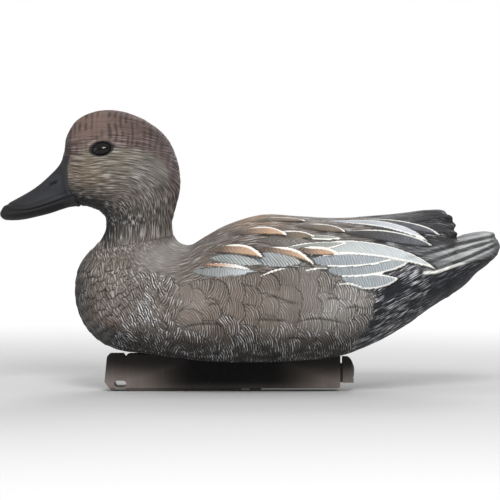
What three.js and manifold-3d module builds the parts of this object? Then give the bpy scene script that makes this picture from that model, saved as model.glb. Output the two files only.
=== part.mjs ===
// Floating duck decoy: a hollow moulded hull, a head that swivels on it, and a ballasted keel below.
// Millimetres. +Z up, -X towards the bill, +X towards the tail, Y across.
// The origin is the middle of the decoy's length and width, at the keel's bottom.
import * as THREE from "three";
import { mergeVertices } from "three/addons/utils/BufferGeometryUtils.js";
import Module from "manifold-3d";

const wasm = await Module();
wasm.setup();

// ---------------------------------------------------------------- driving dimensions

const OVERALL_LENGTH = 399; // bill tip to tail tip
const BODY_WIDTH = 155; // across the hull at its widest
const DRAWN = { length: 399, width: 155 }; // the sizes that the stations below are written for
const WALL = 2.4; // hull and head moulding
const GAP = 0.35; // between two pieces that touch

// The seam between hull and head is a circle in a plane that leans forward by some degrees.
const NECK = { x: -94.3, z: 117.4, radius: 34.2, lean: 9.8, seamGap: 0.5, deck: 3 };
const SOCKET = { rim: 5.6, flange: 2, wall: 3.4, inset: 8.6, depth: 16 };
const SPIGOT = { wall: 3, flange: 3.6, rim: 5.6, barb: 1.3, barbLength: 4, slot: 4, slotLength: 13 };
const WASHER_THICKNESS = 1.5;
const SPIGOT_SCREW = { turns: [-90, 0, 90], radius: 1.3, head: 2.5, headHeight: 1.6, length: 6 };

const EYE = { x: -117.2, z: 192.8, length: 15.6, height: 10.6, tilt: 10, proud: 2.2 };
const EYE_STEM = { radius: 2.2, length: 7 };
const BLOW_PLUG = { x: 96, radius: 3, head: 5.6, headHeight: 1.6, length: 7 };

const KEEL = { width: 22, chamfer: 2.4, front: -116, rear: 72, noseHeight: 29, rearRise: 2 };
const CHANNEL = { front: -92, wall: 3.5, floor: 8.2, roof: 4.2 }; // plastic left around the ballast
const LINE_EYE = { x: -103.4, z: 5.6, length: 9.4, height: 5 };
const KEEL_SCREW = { x: [-66, -24, 44], radius: 2, head: 3.8, headHeight: 2.4, grip: 7.5, well: 4 };
const BALLAST = { length: 142, padThickness: 3, padMargin: 0.6 };
const GASKET = { thickness: 1.2, inner: 0.7, outer: 1.5 };
const CAP = { length: 8.8, bottom: 6.4, top: 26.4, side: 1, plug: 12, ribs: 3, ribPitch: 1.3 };

const AROUND = { hull: 40, hullCavity: 24, head: 32, headCavity: 20 }; // corners of a section

// ---------------------------------------------------------------- stations of hull and head

// A station is a slanting cut through the moulding:
// [top x, z], [bottom x, z], half-width, where it is widest as a share of its height from the top,
// and the exponents of its outline above and below that (2 is an ellipse, more is squarer).
const HULL = [
  [[198.7, 118], [199.5, 113.4], 9, 0.5, 2, 2],
  [[195.6, 123.6], [197, 107.6], 19, 0.6, 2, 2],
  [[190, 126.7], [191.5, 102.2], 27, 0.66, 1.9, 1.8],
  [[182, 126.4], [182, 94.6], 34, 0.66, 1.8, 1.7],
  [[172, 124.6], [172, 84.8], 39, 0.64, 1.7, 1.7],
  [[164.8, 122.8], [162.5, 77.6], 42, 0.62, 1.6, 1.7],
  [[163.4, 129], [159.8, 75.6], 43, 0.66, 1.45, 1.7],
  [[160.6, 138.2], [156.6, 73.4], 44, 0.69, 1.35, 1.7],
  [[155, 143.4], [152, 70.6], 45, 0.68, 1.35, 1.7],
  [[143, 144], [143, 65], 48, 0.66, 1.45, 1.75],
  [[126, 141.4], [126, 53], 54, 0.62, 1.6, 1.8],
  [[102, 139.2], [102, 39], 62, 0.58, 1.8, 2],
  [[72, 137.7], [72, 27.8], 70, 0.56, 1.9, 2.2],
  [[40, 138.8], [40, 24], 75, 0.56, 2, 2.3],
  [[9, 140], [5, 22.8], 77.5, 0.56, 2, 2.4],
  [[-16, 133], [-26, 23.2], 77.5, 0.55, 2, 2.4],
  [[-35, 123.2], [-56, 26.2], 75, 0.55, 2.1, 2.3],
  [[-47.5, 116], [-84, 30], 71, 0.54, 2.1, 2.2],
  [[-53, 116.4], [-107, 33.4], 65.5, 0.54, 2.1, 2.1],
  [[-56.2, 117.7], [-125, 44.4], 58.5, 0.53, 2.1, 2.1],
  [[-57.8, 119], [-135.6, 60.6], 51.5, 0.53, 2.1, 2],
  [[-58.9, 120.2], [-139.2, 78.6], 45.5, 0.52, 2, 2],
  [[-59.7, 121.3], [-137.4, 94], 40, 0.51, 2, 2],
  [[-60.3, 122.4], [-133, 105], 36.4, 0.5, 2, 2],
];
const HULL_CAVITY = [2, 3, 4, 5, 9, 10, 11, 12, 13, 14, 15, 16, 17, 18, 19, 20, 21, 22, 23, 23.5];

const HEAD = [
  [[-61.8, 128.8], [-119.6, 120], 28.8, 0.5, 2, 2],
  [[-61.9, 135.2], [-115.2, 129.6], 26.6, 0.5, 2, 2],
  [[-59.6, 144.8], [-115.2, 136.4], 26.4, 0.52, 2, 2],
  [[-56.4, 156.8], [-117.6, 140.8], 26.8, 0.54, 2, 2],
  [[-55.8, 170.4], [-121.2, 143.8], 27.6, 0.56, 2, 2.1],
  [[-58.8, 186.4], [-125.6, 145.6], 28.2, 0.58, 1.9, 2.1],
  [[-66.4, 202], [-129.6, 146.6], 28.8, 0.6, 1.9, 2.1],
  [[-79.2, 213.2], [-132.8, 147], 29, 0.61, 1.9, 2.1],
  [[-95.2, 221], [-136, 147.2], 28.8, 0.62, 1.9, 2.1],
  [[-112.8, 224], [-138.4, 147], 27.4, 0.62, 1.9, 2.1],
  [[-128.4, 221.4], [-140.8, 146.7], 25, 0.62, 2, 2.1],
  [[-140, 214], [-143.2, 146.4], 22, 0.62, 2, 2],
  [[-146.4, 203.2], [-145.6, 145.9], 18.8, 0.62, 2, 2],
  [[-148.6, 190.4], [-147.6, 145.3], 16, 0.62, 1.9, 1.9],
  [[-151.6, 181.2], [-150.8, 144.3], 14.2, 0.64, 1.8, 1.9],
  [[-161.6, 170.2], [-160, 141.2], 13.4, 0.66, 1.7, 1.9],
  [[-172.8, 161], [-169.6, 138.8], 14.4, 0.66, 1.7, 1.9],
  [[-184, 154.4], [-180.8, 136.4], 15.8, 0.64, 1.8, 1.9],
  [[-193.6, 149], [-191.2, 135.7], 14.6, 0.62, 1.9, 1.9],
  [[-197.9, 145.2], [-196.8, 136.6], 10.5, 0.6, 2, 2],
  [[-199.5, 142.4], [-199.3, 138.8], 5, 0.5, 2, 2],
];
const HEAD_CAVITY = [0.5, 1, 2, 3, 4, 5, 6, 7, 8, 9, 10, 11, 12, 12.5];

// ---------------------------------------------------------------- the neck joint's frame

const UP = new THREE.Vector3(0, 0, 1);
const ACROSS = new THREE.Vector3(0, 1, 0);
const scale = OVERALL_LENGTH / DRAWN.length;
const lean = THREE.MathUtils.degToRad(NECK.lean);
const neckCentre = new THREE.Vector3(NECK.x, 0, NECK.z).multiplyScalar(scale);
const neckAxis = new THREE.Vector3(-Math.sin(lean), 0, Math.cos(lean));
const neckBack = new THREE.Vector3(Math.cos(lean), 0, Math.sin(lean)); // in the seam, towards the tail
const neckRadius = NECK.radius * scale;

// The seam as a station, a circle of the given radius.
function neckStation(radius) {
  const back = neckCentre.clone().addScaledVector(neckBack, radius);
  const front = neckCentre.clone().addScaledVector(neckBack, -radius);
  return { top: back, bottom: front, half: radius, widest: 0.5, above: 2, below: 2 };
}

// Radii of what sits in the seam, and heights along the neck's axis from the hull's seam face.
const socketFlangeRadius = neckRadius - SOCKET.rim;
const socketBore = socketFlangeRadius - SOCKET.inset;
const spigotRadius = socketBore - GAP;
const spigotFlangeRadius = neckRadius - SPIGOT.rim - SOCKET.wall;
const screwCircle = (spigotRadius + spigotFlangeRadius) / 2;

const socketTop = -WASHER_THICKNESS - GAP;
const socketSeat = socketTop - SOCKET.flange;
const socketBottom = socketSeat - SOCKET.depth;
const hullDeckBottom = socketSeat - GAP - NECK.deck;
const headBottom = NECK.seamGap;
const spigotSeat = headBottom + SPIGOT.flange;
const spigotBarbTop = socketBottom - GAP;
const spigotBottom = spigotBarbTop - SPIGOT.barbLength;
const headDeckTop = spigotSeat + GAP + NECK.deck;

// ---------------------------------------------------------------- surfaces through the stations

function drawnStation([top, bottom, half, widest, above, below], widthScale) {
  return {
    top: new THREE.Vector3(top[0], 0, top[1]).multiplyScalar(scale),
    bottom: new THREE.Vector3(bottom[0], 0, bottom[1]).multiplyScalar(scale),
    half: half * widthScale,
    widest,
    above,
    below,
  };
}

// Smooth curves through a list of stations: where they start and end, how wide they are, their shape.
function moulding(stations) {
  const curve = (type, pick) => new THREE.CatmullRomCurve3(stations.map(pick), false, type);
  return {
    top: curve("centripetal", (s) => s.top),
    bottom: curve("centripetal", (s) => s.bottom),
    width: curve("catmullrom", (s) => new THREE.Vector3(s.half, s.widest, 0)),
    fullness: curve("catmullrom", (s) => new THREE.Vector3(s.above, s.below, 0)),
    last: stations.length - 1,
  };
}

// The section at a station number, which may be a fraction, grown outwards by grow.
function sectionAt(shape, station, grow = 0) {
  const t = THREE.MathUtils.clamp(station / shape.last, 0, 1);
  const top = shape.top.getPoint(t);
  const bottom = shape.bottom.getPoint(t);
  const down = bottom.clone().sub(top).normalize();
  const width = shape.width.getPoint(t);
  const fullness = shape.fullness.getPoint(t);
  top.addScaledVector(down, -grow);
  bottom.addScaledVector(down, grow);
  return { top, bottom, half: width.x + grow, widest: width.y, above: fullness.x, below: fullness.y };
}

// A point of a section: angle 0 is its top, a half turn its bottom, and a quarter turn its -Y side.
function pointOn(section, angle) {
  const sine = Math.sin(angle);
  const cosine = Math.cos(angle);
  const power = 2 / (cosine >= 0 ? section.above : section.below);
  const rise = Math.abs(cosine) ** power;
  const depth =
    cosine >= 0
      ? section.widest * (1 - rise)
      : section.widest + (1 - section.widest) * rise;
  const point = section.top.clone().lerp(section.bottom, depth);
  point.y = -Math.sign(sine) * section.half * Math.abs(sine) ** power;
  return point;
}

// The closed skin through the sections at some station numbers.
function skin(shape, numbers, around, grow = 0) {
  const rings = numbers.map((number) => {
    const section = sectionAt(shape, number, grow);
    return Array.from({ length: around }, (_, j) => pointOn(section, (2 * Math.PI * j) / around));
  });
  const last = rings.length - 1;
  const [firstMiddle, lastMiddle] = [rings[0], rings[last]].map((ring) =>
    ring.reduce((sum, point) => sum.add(point), new THREE.Vector3()).divideScalar(around),
  );
  const corners = [];
  for (let j = 0; j < around; j++) {
    const k = (j + 1) % around;
    corners.push(firstMiddle, rings[0][j], rings[0][k]);
    corners.push(lastMiddle, rings[last][k], rings[last][j]);
    for (let i = 0; i < last; i++) {
      corners.push(rings[i][j], rings[i + 1][j], rings[i + 1][k]);
      corners.push(rings[i][j], rings[i + 1][k], rings[i][k]);
    }
  }
  return toSolid(new THREE.BufferGeometry().setFromPoints(corners));
}

// The point of a moulding at a station number and angle, with the direction straight out of it.
function surfaceAt(shape, station, angle) {
  const step = 0.02;
  const at = (s, a) => pointOn(sectionAt(shape, s), a);
  const along = at(station + step, angle).sub(at(station - step, angle));
  const round = at(station, angle + step).sub(at(station, angle - step));
  return { point: at(station, angle), out: along.cross(round).normalize() };
}

// The place on a moulding's -Y side that is at (x, z) seen from that side, by a search that closes in.
function placeOnSide(shape, x, z) {
  let best = { miss: Infinity, station: shape.last / 2, angle: Math.PI / 2 };
  for (let reach = 1; reach > 1e-4; reach /= 4) {
    const centre = best;
    for (let i = -12; i <= 12; i++) {
      for (let j = -12; j <= 12; j++) {
        const station = centre.station + ((reach * i) / 24) * shape.last;
        const angle = THREE.MathUtils.clamp(centre.angle + ((reach * j) / 24) * Math.PI, 0, Math.PI);
        const point = pointOn(sectionAt(shape, station), angle);
        const miss = Math.hypot(point.x - x, point.z - z);
        if (miss < best.miss) best = { miss, station, angle };
      }
    }
  }
  return surfaceAt(shape, best.station, best.angle);
}

const mirrored = ({ point, out }) => ({
  point: new THREE.Vector3(point.x, -point.y, point.z),
  out: new THREE.Vector3(out.x, -out.y, out.z),
});

// ---------------------------------------------------------------- solids

function toSolid(geometry) {
  const bare = geometry.index ? geometry.toNonIndexed() : geometry.clone();
  for (const name of Object.keys(bare.attributes)) {
    if (name !== "position") bare.deleteAttribute(name);
  }
  const merged = mergeVertices(bare, 1e-3);
  const mesh = new wasm.Mesh({
    numProp: 3,
    vertProperties: merged.attributes.position.array,
    triVerts: new Uint32Array(merged.index.array),
  });
  return new wasm.Manifold(mesh);
}

function toGeometry(solid) {
  const mesh = solid.getMesh();
  const geometry = new THREE.BufferGeometry();
  geometry.setAttribute("position", new THREE.BufferAttribute(mesh.vertProperties, 3));
  geometry.setIndex(new THREE.BufferAttribute(mesh.triVerts, 1));
  geometry.computeVertexNormals();
  return geometry;
}

// A solid of revolution about the line through origin along axis. The profile is [radius, height] pairs.
function turned(profile, origin, axis, segments = 32) {
  const points = profile.map(([radius, height]) => new THREE.Vector2(radius, height));
  const geometry = new THREE.LatheGeometry(points, segments);
  const turn = new THREE.Quaternion().setFromUnitVectors(ACROSS, axis);
  geometry.applyQuaternion(turn).translate(origin.x, origin.y, origin.z);
  return toSolid(geometry);
}

function rod(radius, from, to, origin, axis, segments = 16) {
  return turned([[0, from], [radius, from], [radius, to], [0, to]], origin, axis, segments);
}

function tube(inner, outer, from, to, origin, axis, segments = 32) {
  const profile = [[inner, from], [outer, from], [outer, to], [inner, to], [inner, from]];
  return turned(profile, origin, axis, segments);
}

function block(x0, x1, y0, y1, z0, z1) {
  const geometry = new THREE.BoxGeometry(x1 - x0, y1 - y0, z1 - z0);
  geometry.translate((x0 + x1) / 2, (y0 + y1) / 2, (z0 + z1) / 2);
  return toSolid(geometry);
}

// An outline drawn in X and Z, made solid across Y.
function plate(outline, thickness, curveSegments = 6) {
  const options = { depth: thickness, bevelEnabled: false, curveSegments };
  const geometry = new THREE.ExtrudeGeometry(outline, options);
  geometry.translate(0, 0, -thickness / 2).rotateX(Math.PI / 2);
  return toSolid(geometry);
}

// An outline drawn in Y and Z, made solid along X.
function bar(outline, x0, x1) {
  const geometry = new THREE.ExtrudeGeometry(outline, { depth: x1 - x0, bevelEnabled: false });
  geometry.rotateX(Math.PI / 2).rotateZ(Math.PI / 2).translate(x0, 0, 0);
  return toSolid(geometry);
}

// A pan-head screw with a crossed recess. Its head's underside is at seat and it points along axis.
function screw({ radius, head, headHeight, length }, seat, axis) {
  const profile = [
    [0, -headHeight],
    [head * 0.72, -headHeight],
    [head, -headHeight * 0.45],
    [head, 0],
    [radius, 0],
    [radius, length - radius],
    [0, length],
  ];
  const arm = head * 0.6;
  const blade = 0.5;
  const depth = headHeight * 0.55;
  const recess = block(-arm, arm, -blade, blade, -1, depth).add(block(-blade, blade, -arm, arm, -1, depth));
  const place = new THREE.Matrix4().makeRotationFromQuaternion(
    new THREE.Quaternion().setFromUnitVectors(UP, axis),
  );
  place.setPosition(seat.clone().addScaledVector(axis, -headHeight));
  return turned(profile, seat, axis, 12).subtract(recess.transform(place.toArray()));
}

// ---------------------------------------------------------------- hull

const hullStations = HULL.map((station) => drawnStation(station, (scale * BODY_WIDTH) / DRAWN.width));
const hullShape = moulding([...hullStations, neckStation(neckRadius)]);
const hullNumbers = Array.from({ length: HULL.length + 1 }, (_, i) => i);
const hullSkin = (grow) => skin(hullShape, hullNumbers, AROUND.hull, grow);
const hullOuter = hullSkin(0);

// Height of the hull's lowest point over a small square.
function bellyAt(x, y = 0) {
  const probe = block(x - 0.3, x + 0.3, y - 0.3, y + 0.3, -100, NECK.z * scale);
  return hullOuter.intersect(probe).boundingBox().min[2];
}

// The keel's screws pass up through the keel and the ballast into bosses in the hull.
const keelScrews = KEEL_SCREW.x.map((x) => {
  const length = bellyAt(x) - KEEL_SCREW.well + KEEL_SCREW.grip;
  return { ...KEEL_SCREW, seat: new THREE.Vector3(x, 0, KEEL_SCREW.well), length };
});

// The blow plug stands square to the belly's centre line.
const plugSeat = (() => {
  const ahead = new THREE.Vector3(BLOW_PLUG.x - 3, 0, bellyAt(BLOW_PLUG.x - 3));
  const behind = new THREE.Vector3(BLOW_PLUG.x + 3, 0, bellyAt(BLOW_PLUG.x + 3));
  const out = ACROSS.clone().cross(behind.clone().sub(ahead)).normalize();
  return { point: ahead.lerp(behind, 0.5), out };
})();

function makeHull() {
  const { radius, head, headHeight } = BLOW_PLUG;
  const { point, out } = plugSeat;
  let cavity = skin(hullShape, HULL_CAVITY, AROUND.hullCavity, -WALL);
  cavity = cavity.subtract(rod(neckRadius * 1.6, hullDeckBottom, neckRadius, neckCentre, neckAxis));
  for (const { seat, length } of keelScrews) {
    cavity = cavity.subtract(rod(KEEL_SCREW.radius + WALL, 0, length + 4, seat, UP));
  }
  cavity = cavity.subtract(rod(head + WALL, -headHeight - WALL, WALL, point, out));
  let hull = hullOuter.subtract(cavity);
  hull = hull.subtract(rod(socketBore + SOCKET.wall + GAP, -60, 5, neckCentre, neckAxis, 32));
  hull = hull.subtract(rod(socketFlangeRadius + GAP, socketSeat - GAP, 5, neckCentre, neckAxis, 32));
  for (const { seat, length } of keelScrews) {
    hull = hull.subtract(rod(KEEL_SCREW.radius + GAP, 0, length + GAP, seat, UP));
  }
  hull = hull.subtract(rod(radius + GAP, -20, WALL, point, out));
  return hull.subtract(rod(head + GAP, -headHeight - GAP, WALL, point, out, 20));
}

function makeBlowPlug() {
  const { radius, head, headHeight, length } = BLOW_PLUG;
  const profile = [
    [0, -length],
    [radius * 0.8, -length],
    [radius, -length + 1.5],
    [radius, -headHeight],
    [head, -headHeight],
    [head, -0.5],
    [head - 0.6, 0],
    [0, 0],
  ];
  return turned(profile, plugSeat.point, plugSeat.out, 20);
}

// ---------------------------------------------------------------- neck swivel

function makeNeckSocket() {
  const outer = socketBore + SOCKET.wall;
  const leadIn = 1;
  const profile = [
    [socketBore, socketBottom],
    [outer, socketBottom],
    [outer, socketSeat],
    [socketFlangeRadius, socketSeat],
    [socketFlangeRadius, socketTop],
    [socketBore + leadIn, socketTop],
    [socketBore, socketTop - leadIn],
    [socketBore, socketBottom],
  ];
  return turned(profile, neckCentre, neckAxis);
}

function makeFrictionWasher() {
  const outer = socketFlangeRadius - GAP;
  return tube(socketBore + GAP, outer, -WASHER_THICKNESS, 0, neckCentre, neckAxis);
}

// The neck slants backwards above the seam, so its screws stand at its sides and back.
const spigotScrewSeats = SPIGOT_SCREW.turns.map((turn) => {
  const angle = THREE.MathUtils.degToRad(turn);
  return neckCentre
    .clone()
    .addScaledVector(neckBack, screwCircle * Math.cos(angle))
    .addScaledVector(ACROSS, screwCircle * Math.sin(angle))
    .addScaledVector(neckAxis, headBottom + SPIGOT_SCREW.headHeight);
});

// A sleeve with four snap fingers, whose barbs hook under the socket.
function makeSpigot() {
  const { wall, barb, slot, slotLength } = SPIGOT;
  const inner = spigotRadius - wall;
  const profile = [
    [inner, spigotBottom],
    [spigotRadius - 0.8, spigotBottom],
    [spigotRadius + barb, spigotBarbTop - 1.2],
    [spigotRadius + barb, spigotBarbTop],
    [spigotRadius, spigotBarbTop],
    [spigotRadius, headBottom],
    [spigotFlangeRadius, headBottom],
    [spigotFlangeRadius, spigotSeat],
    [inner, spigotSeat],
    [inner, spigotBottom],
  ];
  const place = new THREE.Matrix4().makeRotationY(-lean).setPosition(neckCentre);
  const reach = spigotRadius * 2;
  const slotBottom = spigotBottom - 1;
  const slotTop = slotBottom + slotLength;
  const slots = block(-reach, reach, -slot / 2, slot / 2, slotBottom, slotTop).add(
    block(-slot / 2, slot / 2, -reach, reach, slotBottom, slotTop),
  );
  let spigot = turned(profile, neckCentre, neckAxis).subtract(slots.transform(place.toArray()));
  for (const seat of spigotScrewSeats) {
    spigot = spigot.subtract(rod(SPIGOT_SCREW.head + GAP, -8, GAP, seat, neckAxis));
    spigot = spigot.subtract(rod(SPIGOT_SCREW.radius + GAP, -1, 20, seat, neckAxis, 12));
  }
  return spigot;
}

// ---------------------------------------------------------------- head

const headStations = HEAD.map((station) => drawnStation(station, scale));
const headShape = moulding([neckStation(neckRadius - 0.3), ...headStations]);
const headNumbers = Array.from({ length: HEAD.length + 1 }, (_, i) => i);

// The eye on the bird's left, the -Y side, and its mirror image.
const eyeSeat = placeOnSide(headShape, EYE.x * scale, EYE.z * scale);
const eyeSeats = { left_eye: eyeSeat, right_eye: mirrored(eyeSeat) };
const eyeRadius = EYE.height / 2;
const domeHeight = eyeRadius * 0.8;
const eyeBack = EYE.proud - domeHeight;

// A profile turned about the eye's own axis, then stretched to an oval along the eye's length.
function ovalTurned(profile, { point, out }, segments = 24) {
  const tilt = THREE.MathUtils.degToRad(EYE.tilt);
  const slope = new THREE.Vector3(Math.cos(tilt), 0, Math.sin(tilt));
  const long = slope.addScaledVector(out, -slope.dot(out)).normalize();
  const points = profile.map(([radius, height]) => new THREE.Vector2(radius, height));
  const geometry = new THREE.LatheGeometry(points, segments);
  geometry.scale(EYE.length / EYE.height, 1, 1);
  geometry.applyMatrix4(new THREE.Matrix4().makeBasis(long, out, long.clone().cross(out)));
  geometry.translate(point.x, point.y, point.z);
  return toSolid(geometry);
}

function ovalRod(radius, from, to, seat) {
  return ovalTurned([[0, from], [radius, from], [radius, to], [0, to]], seat);
}

// A glass-eye dome on a stem. The dome's flat back lies under the head's skin.
function makeEye(seat) {
  const steps = 5;
  const dome = Array.from({ length: steps }, (_, i) => {
    const angle = (Math.PI / 2) * (1 - i / steps);
    return [eyeRadius * Math.sin(angle), eyeBack + domeHeight * Math.cos(angle)];
  });
  const profile = [
    [0, -EYE_STEM.length],
    [EYE_STEM.radius, -EYE_STEM.length],
    [EYE_STEM.radius, eyeBack],
    ...dome,
    [0, eyeBack + domeHeight],
  ];
  return ovalTurned(profile, seat);
}

function makeHead() {
  let cavity = skin(headShape, HEAD_CAVITY, AROUND.headCavity, -WALL);
  cavity = cavity.subtract(rod(neckRadius * 2, -20, headDeckTop, neckCentre, neckAxis));
  for (const seat of Object.values(eyeSeats)) {
    cavity = cavity.subtract(ovalRod(eyeRadius + WALL, -EYE_STEM.length, WALL, seat));
  }
  let head = skin(headShape, headNumbers, AROUND.head).subtract(cavity);
  head = head.subtract(rod(neckRadius * 2, -20, headBottom, neckCentre, neckAxis));
  head = head.subtract(rod(spigotRadius - SPIGOT.wall, -5, headDeckTop + 2, neckCentre, neckAxis, 24));
  const recess = spigotSeat + GAP;
  head = head.subtract(rod(spigotFlangeRadius + GAP, -5, recess, neckCentre, neckAxis, 32));
  for (const seat of spigotScrewSeats) {
    head = head.subtract(rod(SPIGOT_SCREW.radius + GAP, 0, SPIGOT_SCREW.length + 2, seat, neckAxis, 12));
  }
  for (const seat of Object.values(eyeSeats)) {
    head = head.subtract(ovalRod(eyeRadius + GAP, eyeBack - GAP, eyeRadius, seat));
    head = head.subtract(ovalRod(EYE_STEM.radius + GAP, -EYE_STEM.length - WALL, 0, seat));
  }
  return head;
}

// ---------------------------------------------------------------- keel

const channelHalf = KEEL.width / 2 - CHANNEL.wall;
const channelTop = Math.min(...KEEL_SCREW.x.map((x) => bellyAt(x))) - CHANNEL.roof;

// A box in the ballast channel, clear of its walls by margin.
function inChannel(x0, x1, margin) {
  const half = channelHalf - margin;
  return block(x0, x1, -half, half, CHANNEL.floor + margin, channelTop - margin);
}

// The nose has a tooth at the bottom and a notch on top, both for winding line.
// Half-way along the bottom is a cleat, and behind it the bottom is a little higher.
function keelOutline(top) {
  const { front, rear, noseHeight, rearRise } = KEEL;
  const notch = front + 16.2;
  const noseRear = front + 40;
  const shape = new THREE.Shape();
  shape.moveTo(front, 7.2);
  shape.lineTo(front + 5.4, 0);
  shape.lineTo(front + 6.6, 0);
  shape.lineTo(front + 8.6, 1.8);
  shape.lineTo(front + 17, 1.8);
  shape.lineTo(front + 19.5, 0);
  shape.lineTo(front + 108, 0);
  shape.lineTo(front + 109.4, 1.6);
  shape.lineTo(front + 115.2, 1.6);
  shape.lineTo(front + 116.6, 0);
  shape.lineTo(front + 124, 0);
  shape.lineTo(front + 125.4, rearRise);
  shape.lineTo(rear - 3, rearRise);
  shape.quadraticCurveTo(rear, rearRise, rear, rearRise + 3);
  shape.lineTo(rear, top);
  shape.lineTo(noseRear, top);
  shape.lineTo(noseRear, noseHeight);
  shape.lineTo(notch + 4.6, noseHeight);
  shape.quadraticCurveTo(notch + 1.4, noseHeight, notch, noseHeight - 2.6);
  shape.lineTo(notch - 1.6, noseHeight);
  shape.lineTo(front + 5.4, noseHeight);
  shape.quadraticCurveTo(front + 2, noseHeight, front + 1.8, noseHeight - 3.4);
  shape.closePath();
  return shape;
}

// Across the keel: upright sides and a chamfer along each bottom edge, open below the bottom face.
function keelSection(top) {
  const half = KEEL.width / 2;
  const foot = half - KEEL.chamfer;
  const below = -1;
  const shape = new THREE.Shape();
  shape.moveTo(-half, KEEL.chamfer);
  shape.lineTo(-foot, 0);
  shape.lineTo(-foot, below);
  shape.lineTo(foot, below);
  shape.lineTo(foot, 0);
  shape.lineTo(half, KEEL.chamfer);
  shape.lineTo(half, top);
  shape.lineTo(-half, top);
  shape.closePath();
  return shape;
}

function lineEyeOutline() {
  const round = LINE_EYE.height / 2;
  const straight = LINE_EYE.length / 2 - round;
  const shape = new THREE.Shape();
  shape.absarc(LINE_EYE.x + straight, LINE_EYE.z, round, -Math.PI / 2, Math.PI / 2, false);
  shape.absarc(LINE_EYE.x - straight, LINE_EYE.z, round, Math.PI / 2, (3 * Math.PI) / 2, false);
  shape.closePath();
  return shape;
}

function makeKeel() {
  const { width, front, rear } = KEEL;
  const top = bellyAt(rear) + 10;
  const section = bar(keelSection(top), front - 1, rear + 1);
  let keel = plate(keelOutline(top), width * 2).intersect(section).subtract(hullSkin(GAP));
  keel = keel.subtract(inChannel(CHANNEL.front, rear + 1, 0));
  keel = keel.subtract(plate(lineEyeOutline(), width * 2, 8));
  for (const { seat } of keelScrews) {
    keel = keel.subtract(rod(KEEL_SCREW.head + GAP, -10, GAP, seat, UP));
    keel = keel.subtract(rod(KEEL_SCREW.radius + GAP, 0, 60, seat, UP));
  }
  return keel;
}

const padFront = CHANNEL.front + GAP;
const ballastFront = padFront + BALLAST.padThickness + GAP;
const ballastRear = ballastFront + BALLAST.length;

function makeBallastBar() {
  let ballast = inChannel(ballastFront, ballastRear, GAP);
  for (const { seat } of keelScrews) {
    ballast = ballast.subtract(rod(KEEL_SCREW.radius + GAP, 0, 60, seat, UP));
  }
  return ballast;
}

const makePad = (x) => inChannel(x, x + BALLAST.padThickness, BALLAST.padMargin);

const gasketFront = KEEL.rear + GAP;
const capFront = gasketFront + GASKET.thickness + GAP;

// A frame that seals the channel's mouth: it overlaps the mouth's edge all round.
function makeGasket() {
  const half = KEEL.width / 2 - GASKET.outer;
  const x1 = gasketFront + GASKET.thickness;
  const lip = half - channelHalf;
  const frame = block(gasketFront, x1, -half, half, CHANNEL.floor - lip + GAP, channelTop + lip);
  return frame.subtract(inChannel(gasketFront - 1, x1 + 1, GASKET.inner));
}

// The cap is a block with grip ribs under its rear edge, on a plug that fills the channel's mouth.
function makeEndCap() {
  const rear = capFront + CAP.length;
  const ribTop = CAP.bottom + CAP.ribs * CAP.ribPitch;
  const shape = new THREE.Shape();
  shape.moveTo(capFront, CAP.bottom);
  for (let i = 0; i < CAP.ribs; i++) {
    const z = CAP.bottom + i * CAP.ribPitch;
    shape.lineTo(rear, z);
    shape.lineTo(rear, z + CAP.ribPitch * 0.55);
    shape.lineTo(rear - 0.6, z + CAP.ribPitch * 0.55);
    shape.lineTo(rear - 0.6, z + CAP.ribPitch);
  }
  shape.lineTo(rear, ribTop + 1);
  shape.quadraticCurveTo(rear + 1, (ribTop + CAP.top) / 2, rear - 0.6, CAP.top - 5);
  shape.quadraticCurveTo(rear - 2, CAP.top, rear - 5.5, CAP.top);
  shape.lineTo(capFront, CAP.top);
  shape.closePath();
  const body = plate(shape, KEEL.width - 2 * CAP.side);
  const plug = inChannel(KEEL.rear - CAP.plug, capFront + 1, GASKET.inner + GAP);
  return body.add(plug);
}

// ---------------------------------------------------------------- the assembly

const material = (color, roughness, metalness = 0) =>
  new THREE.MeshStandardMaterial({ color, roughness, metalness });
const FINISH = {
  hull: material(0x6b635a, 0.75),
  head: material(0x665a50, 0.75),
  keel: material(0x3b3632, 0.6),
  eye: material(0x0b0b0d, 0.08),
  swivel: material(0x26262a, 0.5),
  rubber: material(0x1a1a1a, 0.85),
  steel: material(0xa6a9ab, 0.35, 1),
  iron: material(0x4a4a4c, 0.6, 1),
};

const decoy = new THREE.Group();
const hullGroup = new THREE.Group();
const headGroup = new THREE.Group();
const keelGroup = new THREE.Group();
decoy.add(hullGroup, headGroup, keelGroup);

function add(group, name, solid, finish) {
  const mesh = new THREE.Mesh(toGeometry(solid), finish);
  mesh.name = name;
  group.add(mesh);
}

add(hullGroup, "body_shell", makeHull(), FINISH.hull);
add(hullGroup, "neck_socket", makeNeckSocket(), FINISH.swivel);
add(hullGroup, "neck_friction_washer", makeFrictionWasher(), FINISH.rubber);
add(hullGroup, "blow_hole_plug", makeBlowPlug(), FINISH.rubber);

add(headGroup, "head_shell", makeHead(), FINISH.head);
add(headGroup, "neck_spigot", makeSpigot(), FINISH.swivel);
for (const [name, seat] of Object.entries(eyeSeats)) add(headGroup, name, makeEye(seat), FINISH.eye);
spigotScrewSeats.forEach((seat, i) => {
  add(headGroup, `spigot_screw_${i + 1}`, screw(SPIGOT_SCREW, seat, neckAxis), FINISH.steel);
});

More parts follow.
